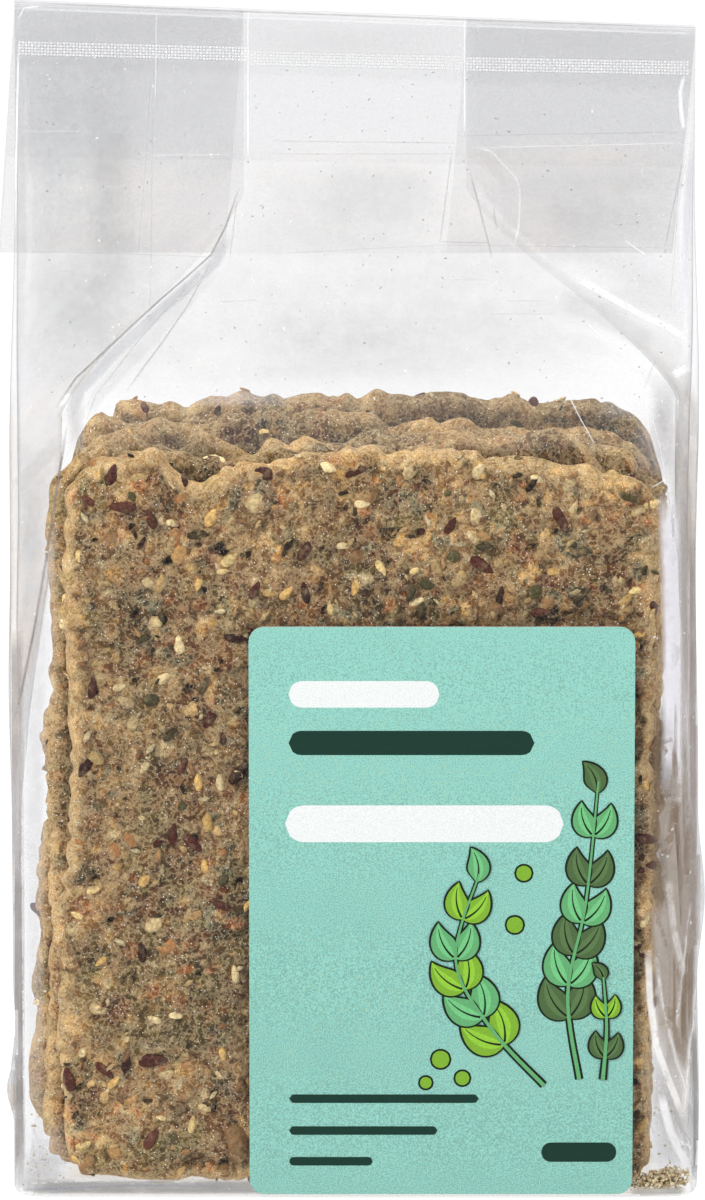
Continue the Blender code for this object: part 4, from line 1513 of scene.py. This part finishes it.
class CRISPBREAD_OT_crumbs(bpy.types.Operator):
    """Crumbs that have dropped to the bottom of the bag or cling to the film under the seal"""

    bl_idname = "crispbread.crumbs"
    bl_label = "Crumbs"

    def execute(self, context):
        random = np.random.default_rng(77)
        copies = []
        palette = ((236, 222, 188), (220, 200, 158), (226, 208, 166), (196, 168, 122))
        palette = [np.array(linear(*tint)) for tint in palette]

        def drop(x, y, z, size):
            spin = Matrix.Rotation(random.uniform(0, 6.28), 4, "Z")
            turn = spin @ Matrix.Rotation(random.uniform(0, 6.28), 4, "X")
            matrix = Matrix.Translation((x * MM, y * MM, z * MM)) @ turn @ Matrix.Scale(size * MM, 4)
            copies.append((matrix, palette[random.integers(len(palette))] * random.uniform(0.8, 1.15)))

        # A heap in the front right corner, and a thin scatter over the rest of the base
        for _ in range(HEAP_COUNT):
            far = abs(random.normal(0, 0.45))
            x, y = 54.5 - 8 * far + random.normal(0, 1.6), -23.4 + random.normal(0, 1.0)
            size = random.uniform(0.3, 1.1) * random.uniform(0.5, 1.0)
            rise = max(0.0, 3.4 - 2.4 * far) * random.uniform(0, 1)
            drop(min(x, 56.6), max(y, -24.6), 0.9 + 0.4 * size + rise, size)
        for number in range(STRAY_COUNT):
            size = random.uniform(0.2, 0.8) * random.uniform(0.5, 1.0)
            side = (-1, 1)[number % 2]
            near_side = number % 3 > 0
            x = (56.5 - abs(random.normal(0, 5))) * side if near_side else random.uniform(-50, 50)
            y = random.uniform(-24, 24) if near_side else side * random.uniform(23.6, 24.6)
            drop(x, y, 0.9 + 0.4 * size + abs(random.normal(0, 0.6)) * near_side, size)
        tree = BVHTree.FromObject(bpy.data.objects["film_bag"], context.evaluated_depsgraph_get())
        for column, row, size in CRUMBS_UNDER_SEAL:
            spot = Matrix.Translation(film_at(tree, column, row)[0] + Vector((0, 0.35 * MM, 0)))
            matrix = spot @ Matrix.Diagonal((size * MM, 0.3 * MM, 0.7 * size * MM, 1))
            copies.append((matrix, linear(240, 238, 230)))
        look = seed_material("crumb", 0.6, 0.3, 0.15)
        piece = joined_copies(lump(0.8, 0.7, 12), copies, "crumbs", look)
        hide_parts("bag")
        return {"FINISHED"}


# Crumbs caught between the layers under the seal: pixels in the frame and size in millimetres
CRUMBS_UNDER_SEAL = (
    (35, 63, 0.7), (57, 64, 0.5), (77, 60, 0.6), (95, 58, 0.6), (125, 70, 0.7), (63, 229, 0.4),
    (90, 238, 0.3), (118, 243, 0.4), (40, 96, 0.3), (171, 82, 0.3), (205, 118, 0.3), (52, 333, 0.4),
    (69, 352, 0.3),
)


# The label and its print


class PRINT_OT_label(bpy.types.Operator):
    """Mint paper on the label, with plain bars and a sprig of leaves printed on it"""

    bl_idname = "crispbread.label"
    bl_label = "Label"

    def execute(self, context):
        label = frame["nodes"]["label"]
        paper = paper_material(context.scene.crispbread)
        for slot in label.material_slots:
            slot.material = paper
        make_print(label)
        return {"FINISHED"}


def paper_material(look):
    """Satin mint paper: a fine print grain on its face, white fibre along its cut edge, and painted light
    that makes it lighter towards its top.
    """
    shader = material_shader("label_paper")
    grain = shader.noise(0.2 * MM, 0, 0.5)
    dots = shader.noise(0.34 * MM, 0, 0.5, shader.place((1, 1, 0.9)))
    cloud = shader.noise(9 * MM, 2, 0.5)
    mint = tuple(look.paper_colour)
    deep = tuple(0.8 * part for part in mint)
    light = tuple(min(1.0, 1.17 * part) for part in mint)
    # Painted light: the paper is painted lighter towards the top of the label
    lift = shader.axis(shader.place(), "Z").between(30 * MM, 95 * MM) * 0.36
    colour = shader.blend(deep, light, (grain - 0.5) * 3.8 + (cloud - 0.5) * 0.4 + lift + 0.5)
    colour = shader.blend(colour, (0.42, 0.66, 0.46), (dots - 0.5).between(0.04, 0.3) * 0.5)
    facing = shader.node("ShaderNodeNewGeometry").outputs["True Normal"]
    edge = (shader.axis(facing, "Y") + 1).between(0.3, 0.5)
    return shader.principled(
        {
            "Base Color": shader.blend(colour, (0.86, 0.88, 0.88), edge),
            "Roughness": 0.5 + 0.2 * grain,
            "Specular IOR Level": 0.3,
            "Normal": shader.bump(grain, 0.03 * MM),
        }
    )


def ink_material():
    """Ink in the colours of the print, with a fine grain."""
    shader = material_shader("label_ink")
    grain = shader.noise(0.24 * MM, 2, 0.7)
    shade = shader.blend((0.86, 0.86, 0.86), (1.12, 1.12, 1.12), (grain - 0.5) * 2.4 + 0.5)
    return shader.principled(
        {
            "Base Color": shader.blend(shader.tint()[0], shade, 1.0, "MULTIPLY"),
            "Roughness": 0.42 + 0.2 * grain,
            "Specular IOR Level": 0.35,
            "Normal": shader.bump(grain, 0.02 * MM),
        }
    )


WHITE = linear(244, 248, 246)
INK = linear(24, 62, 50)
OUTLINE = linear(28, 40, 26)
LEAF = linear(82, 112, 66)
FRESH = linear(104, 180, 118)
LIME = linear(132, 184, 50)

# Bars in place of words, in millimetres: left, right, middle height, height, and colour
BARS = (
    (-11.2, 14.2, 88.0, 4.6, WHITE),
    (-11.2, 30.2, 79.6, 4.2, INK),
    (-11.8, 35.2, 65.6, 6.4, WHITE),
    (-11.2, 21.0, 17.6, 1.5, INK),
    (-11.2, 14.0, 12.0, 1.5, INK),
    (-11.2, 3.0, 6.6, 1.5, INK),
    (31.6, 44.4, 8.2, 3.4, INK),
)
# Sprigs: the stem's points, the pairs of leaves, the leaves' length, and the leaves' colours in turn
SPRIGS = (
    (((38, 21), (36, 36), (39, 52), (41, 73)), 6, 8.8, (LEAF, FRESH)),
    (((32, 20), (23, 30), (17, 42), (21, 57)), 5, 9.0, (LIME, FRESH)),
    (((42, 21), (42.6, 30), (42, 39)), 2, 5.2, (LEAF, LIME)),
)
# How far the first layer of ink stands off the paper and each one off the one below, and where the rays
# that find the paper start
PRINT_GAP = 0.02 * MM
PRINT_LAYER = 0.002 * MM
BEFORE_LABEL = -60 * MM
# Berries, in millimetres: x, z and radius
BERRIES = ((14.5, 24.5, 1.5), (18.2, 21.2, 1.2), (12.0, 20.4, 1.0), (28.5, 57.0, 1.3), (27.0, 48.0, 1.4))


def make_print(label):
    """Each shape of the print is a thin sheet just in front of the label's own surface."""
    tree = BVHTree.FromPolygons(
        [vertex.co for vertex in label.data.vertices], [tuple(face.vertices) for face in label.data.polygons]
    )
    shape = bmesh.new()

    def sheet(spine, half_width, colour, layer, steps=24, across=4):
        """A strip along a spine, given in millimetres, as wide as half_width says at each share."""
        one = bmesh.new()
        bmesh.ops.create_grid(one, x_segments=across, y_segments=steps, size=0.5)
        for vertex in one.verts:
            share, aside = vertex.co.y + 0.5, 2 * vertex.co.x
            x, z = spine(share)
            ahead_x, ahead_z = spine(share + 0.001)
            course_x, course_z = ahead_x - x, ahead_z - z
            reach = half_width(share) * aside / (math.hypot(course_x, course_z) or 1)
            x, z = x + course_z * reach, z - course_x * reach
            hit = tree.ray_cast(Vector((x * MM, BEFORE_LABEL, z * MM)), Vector((0, 1, 0)))[0]
            front = hit.y if hit else LABEL_LOW[1]
            vertex.co = (x * MM, front - PRINT_GAP - layer * PRINT_LAYER, z * MM)
        mesh = mesh_of(one, "printed")
        tint = mesh.attributes.new("tint", "FLOAT_COLOR", "POINT")
        tint.data.foreach_set("color", np.tile([*colour, 1], len(mesh.vertices)))
        shape.from_mesh(mesh)
        bpy.data.meshes.remove(mesh)

    for bar in BARS:
        add_bar(sheet, *bar)
    layer = 2
    for sprig in SPRIGS:
        layer = add_sprig(sheet, *sprig, layer)
    for x, z, radius in BERRIES:
        add_berry(sheet, x, z, radius + 0.35, OUTLINE, 1)
        add_berry(sheet, x, z, radius, LIME, 2)
    bmesh.ops.remove_doubles(shape, verts=shape.verts, dist=0.0005 * MM)
    piece = finish_piece(shape, "label_print", ink_material())


def add_bar(sheet, left, right, middle, height, colour):
    """A bar with round ends."""
    half = height / 2
    end = half / (right - left)

    def width(share):
        near = min(share, 1 - share) / end
        return half * math.sqrt(max(0.0, 1 - (1 - min(near, 1)) ** 2))

    sheet(lambda share: (left + (right - left) * share, middle), width, colour, 1, steps=60)


def add_berry(sheet, x, z, reach, colour, layer):
    """A round berry."""

    def spine(share):
        return x + reach * (2 * share - 1), z

    sheet(spine, lambda share: reach * dome(share), colour, layer, 16)


def add_sprig(sheet, stem, pairs, length, colours, layer):
    """A stem with leaves in pairs and one at its tip. Returns the layer that lies on top of it."""

    def spine(share):
        return along_curve(stem, share)

    sheet(spine, lambda share: 0.75 - 0.4 * share, OUTLINE, layer)
    layer += 1
    for number in range(2 * pairs + 1):
        side = (-1, 1)[number % 2]
        share = 0.25 + 0.7 * (number // 2) / pairs
        x, z = spine(min(share, 1))
        ahead_x, ahead_z = spine(min(share, 1) + 0.01)
        course = math.atan2(ahead_z - z, ahead_x - x)
        course += 0 if number == 2 * pairs else side * math.radians(52)
        size = length * (1 - 0.35 * share)
        add_leaf(sheet, (x, z), course, size, side, colours[number // 2 % len(colours)], layer)
        layer += 4
    sheet(spine, lambda share: 0.35 - 0.2 * share, FRESH, layer)
    return layer + 1


def dome(share):
    """From 0 round to 1 and back to 0."""
    return math.sqrt(max(0, 4 * share * (1 - share)))


def along_curve(points, share):
    """A point at a share of a smooth curve through points."""
    place = share * (len(points) - 1)
    start = min(int(place), len(points) - 2)
    near = place - start
    last = len(points) - 1
    around = (points[max(start - 1, 0)], points[start], points[start + 1], points[min(start + 2, last)])
    weights = (
        -0.5 * near + near**2 - 0.5 * near**3,
        1 - 2.5 * near**2 + 1.5 * near**3,
        0.5 * near + 2 * near**2 - 1.5 * near**3,
        -0.5 * near**2 + 0.5 * near**3,
    )
    return tuple(sum(weight * point[axis] for weight, point in zip(weights, around)) for axis in (0, 1))


def add_leaf(sheet, root, course, size, side, colour, layer):
    """An oval leaf with a dark outline, a lighter half and a midrib."""

    def spine(share):
        bend = course - side * 0.5 * share
        return root[0] + size * share * math.cos(bend), root[1] + size * share * math.sin(bend)

    def width(share):
        return 0.3 * size * math.sin(math.pi * min(max(share, 0), 1) ** 0.8)

    def outer_width(share):
        return width(share) + 0.34 * dome(share)

    sheet(lambda share: spine(-0.03 + 1.08 * share), outer_width, OUTLINE, layer)
    sheet(spine, width, colour, layer + 1)
    lighter = tuple(min(1, 1.35 * part) for part in colour)
    sheet(spine, lambda share: 0.45 * width(share), lighter, layer + 2)
    midrib = (lambda share: spine(0.06 + 0.8 * share), lambda share: 0.2 * (1 - 0.7 * share))
    sheet(*midrib, OUTLINE, layer + 3, 16, 2)


# The stage


# Soft rectangular lights: place, the height on the bag's axis that each faces, width and height, power,
# and the rays that don't meet it. The glint is only mirrored, in seeds and creases.
LIGHTS = {
    "key": ((-0.75, -0.95, 1.15), 0.1, (0.7, 0.7), 18, ["glossy"]),
    "fill": ((1.0, -0.7, 0.55), 0.1, (0.5, 0.9), 1.6, []),
    "top": ((0, 0.35, 1.6), 0, (1.2, 1.0), 15, ["glossy"]),
    "left": ((-1, 0.1, 0.35), 0.08, (0.25, 0.9), 3.4, ["glossy"]),
    "right": ((1, 0.1, 0.35), 0.08, (0.25, 0.9), 2.2, ["glossy"]),
    "glint": ((-0.75, -0.95, 1.15), 0.1, (0.14, 0.14), 1.6, ["diffuse", "camera"]),
}
# The floor reaches so far in metres, then bends up into the backdrop in steps of one length
FLOOR_REACH = 3
CURVE_STEPS = 12
CURVE_STEP_LENGTH = 0.13


class CRISPBREAD_OT_stage(bpy.types.Operator):
    """The pale floor and backdrop, the soft lights and the camera"""

    bl_idname = "crispbread.stage"
    bl_label = "Stage"

    def execute(self, context):
        scene = context.scene
        make_floor(scene)
        make_studio(scene)
        for name, light in LIGHTS.items():
            add_light(scene, name, *light)
        make_camera(scene)
        scene.view_settings.view_transform = "Standard"
        scene.cycles.transparent_max_bounces = 20
        scene.cycles.max_bounces = 3
        scene.cycles.diffuse_bounces = 1
        scene.cycles.glossy_bounces = 2
        return {"FINISHED"}


def add_light(scene, name, place, aim, size, power, unseen_by):
    light = bpy.data.lights.new(name, "AREA")
    light.shape = "RECTANGLE"
    light.size, light.size_y = size
    light.energy = power
    made = bpy.data.objects.new(name, light)
    made.location = place
    made.rotation_euler = (Vector((0, 0, aim)) - Vector(place)).to_track_quat("-Z", "Y").to_euler()
    scene.collection.objects.link(made)
    for ray in unseen_by:
        setattr(made, "visible_" + ray, False)


def make_studio(scene):
    """Soft light from all round. Film mirrors a bright room behind the bag and a dim one before it."""
    scene.world = bpy.data.worlds.new("studio")
    room = Shader(scene.world, "ShaderNodeOutputWorld")
    where = room.node("ShaderNodeTexCoord").outputs["Generated"]
    y, z = room.axis(where, "Y"), room.axis(where, "Z")
    window = 0.9 * z.between(0.1, 0.35) * (1 - z.between(0.6, 0.8)) * (1 - y.between(-0.5, 0))
    strength = window + 0.12 + 0.58 * y.between(-0.6, 0.7)
    sky = room.node("ShaderNodeBackground", None, {"Color": (0.95, 0.97, 1, 1), "Strength": 0.18})
    mirrored = room.node("ShaderNodeBackground", None, {"Color": (0.96, 0.97, 1, 1), "Strength": strength})
    glossy = room.node("ShaderNodeLightPath").outputs["Is Glossy Ray"]
    room.finish(room.node("ShaderNodeMixShader", None, {0: glossy, 1: sky, 2: mirrored}))


def make_floor(scene):
    """A pale floor that curves up into a backdrop."""
    shape = bmesh.new()
    bmesh.ops.create_grid(shape, x_segments=1, y_segments=1, size=FLOOR_REACH)
    back = [edge for edge in shape.edges if all(vertex.co.y > 0 for vertex in edge.verts)]
    curve = [math.radians(90) * (step + 0.5) / CURVE_STEPS for step in range(CURVE_STEPS)]
    moves = [(0, CURVE_STEP_LENGTH * math.cos(turn), CURVE_STEP_LENGTH * math.sin(turn)) for turn in curve]
    for move in (*moves, (0, 0, FLOOR_REACH)):
        made = bmesh.ops.extrude_edge_only(shape, edges=back)["geom"]
        back = [item for item in made if isinstance(item, bmesh.types.BMEdge)]
        moved = [item for item in made if isinstance(item, bmesh.types.BMVert)]
        bmesh.ops.translate(shape, vec=move, verts=moved)
    mesh = mesh_of(shape, "floor")
    mesh.shade_smooth()
    shader = material_shader("pale_floor")
    colour = shader.blend((0.145, 0.145, 0.15), (0.155, 0.155, 0.155), shader.noise(0.4, 2, 0.5))
    glow = {"Emission Color": (1, 1, 1, 1), "Emission Strength": 0.88}
    mesh.materials.append(shader.principled({"Base Color": colour, "Roughness": 0.8, **glow}))
    floor = bpy.data.objects.new("floor", mesh)
    scene.collection.objects.link(floor)
    floor.visible_glossy = False


def make_camera(scene):
    """The camera, aimed from in front and a little above."""
    camera = bpy.data.cameras.new("camera")
    camera.sensor_fit = "VERTICAL"
    camera.sensor_height = SENSOR_HEIGHT
    camera.lens = CAMERA_LENS
    camera.clip_start, camera.clip_end = 0.05, 20
    made = bpy.data.objects.new("camera", camera)
    made.location = CAMERA_TARGET + CAMERA_OUTWARDS * CAMERA_DISTANCE
    made.rotation_euler = (-CAMERA_OUTWARDS).to_track_quat("-Z", "Y").to_euler()
    scene.collection.objects.link(made)
    scene.camera = made


class CrispbreadLook(bpy.types.PropertyGroup):
    paper_colour: FloatVectorProperty(
        name="Paper colour", description="The label's mint", default=(0.275, 0.6, 0.52), subtype="COLOR"
    )
    film_shine: FloatProperty(
        name="Film shine", description="Share that the film mirrors head on", default=0.05, subtype="FACTOR"
    )
    film_haze: FloatProperty(
        name="Film haze", description="Milky share of one layer of film", default=0.006, subtype="FACTOR"
    )
    crust_bump: FloatProperty(
        name="Crust bump", description="Strength of the crust's finest relief", default=0.9, subtype="FACTOR"
    )


class CRISPBREAD_PT_panel(bpy.types.Panel):
    bl_label = "Crispbread Bag"
    bl_space_type = "VIEW_3D"
    bl_region_type = "UI"
    bl_category = "Crispbread"

    def draw(self, context):
        look = context.scene.crispbread
        for name in look.bl_rna.properties.keys():
            if name not in ("rna_type", "name"):
                self.layout.prop(look, name)
        for operator in OPERATORS:
            self.layout.operator(operator.bl_idname)


OPERATORS = (
    CRISPBREAD_OT_stage,
    CRISPBREAD_OT_slices,
    CRISPBREAD_OT_seeds,
    FILM_OT_bag,
    FILM_OT_marks,
    CRISPBREAD_OT_crumbs,
    PRINT_OT_label,
)
CLASSES = (CrispbreadLook, *OPERATORS, CRISPBREAD_PT_panel)


def register():
    for item in CLASSES:
        bpy.utils.register_class(item)
    bpy.types.Scene.crispbread = PointerProperty(type=CrispbreadLook)


def unregister():
    del bpy.types.Scene.crispbread
    for item in reversed(CLASSES):
        bpy.utils.unregister_class(item)


def main():
    register()
    for operator in OPERATORS:
        group, name = operator.bl_idname.split(".")
        getattr(getattr(bpy.ops, group), name)()


if __name__ == "__main__":
    main()
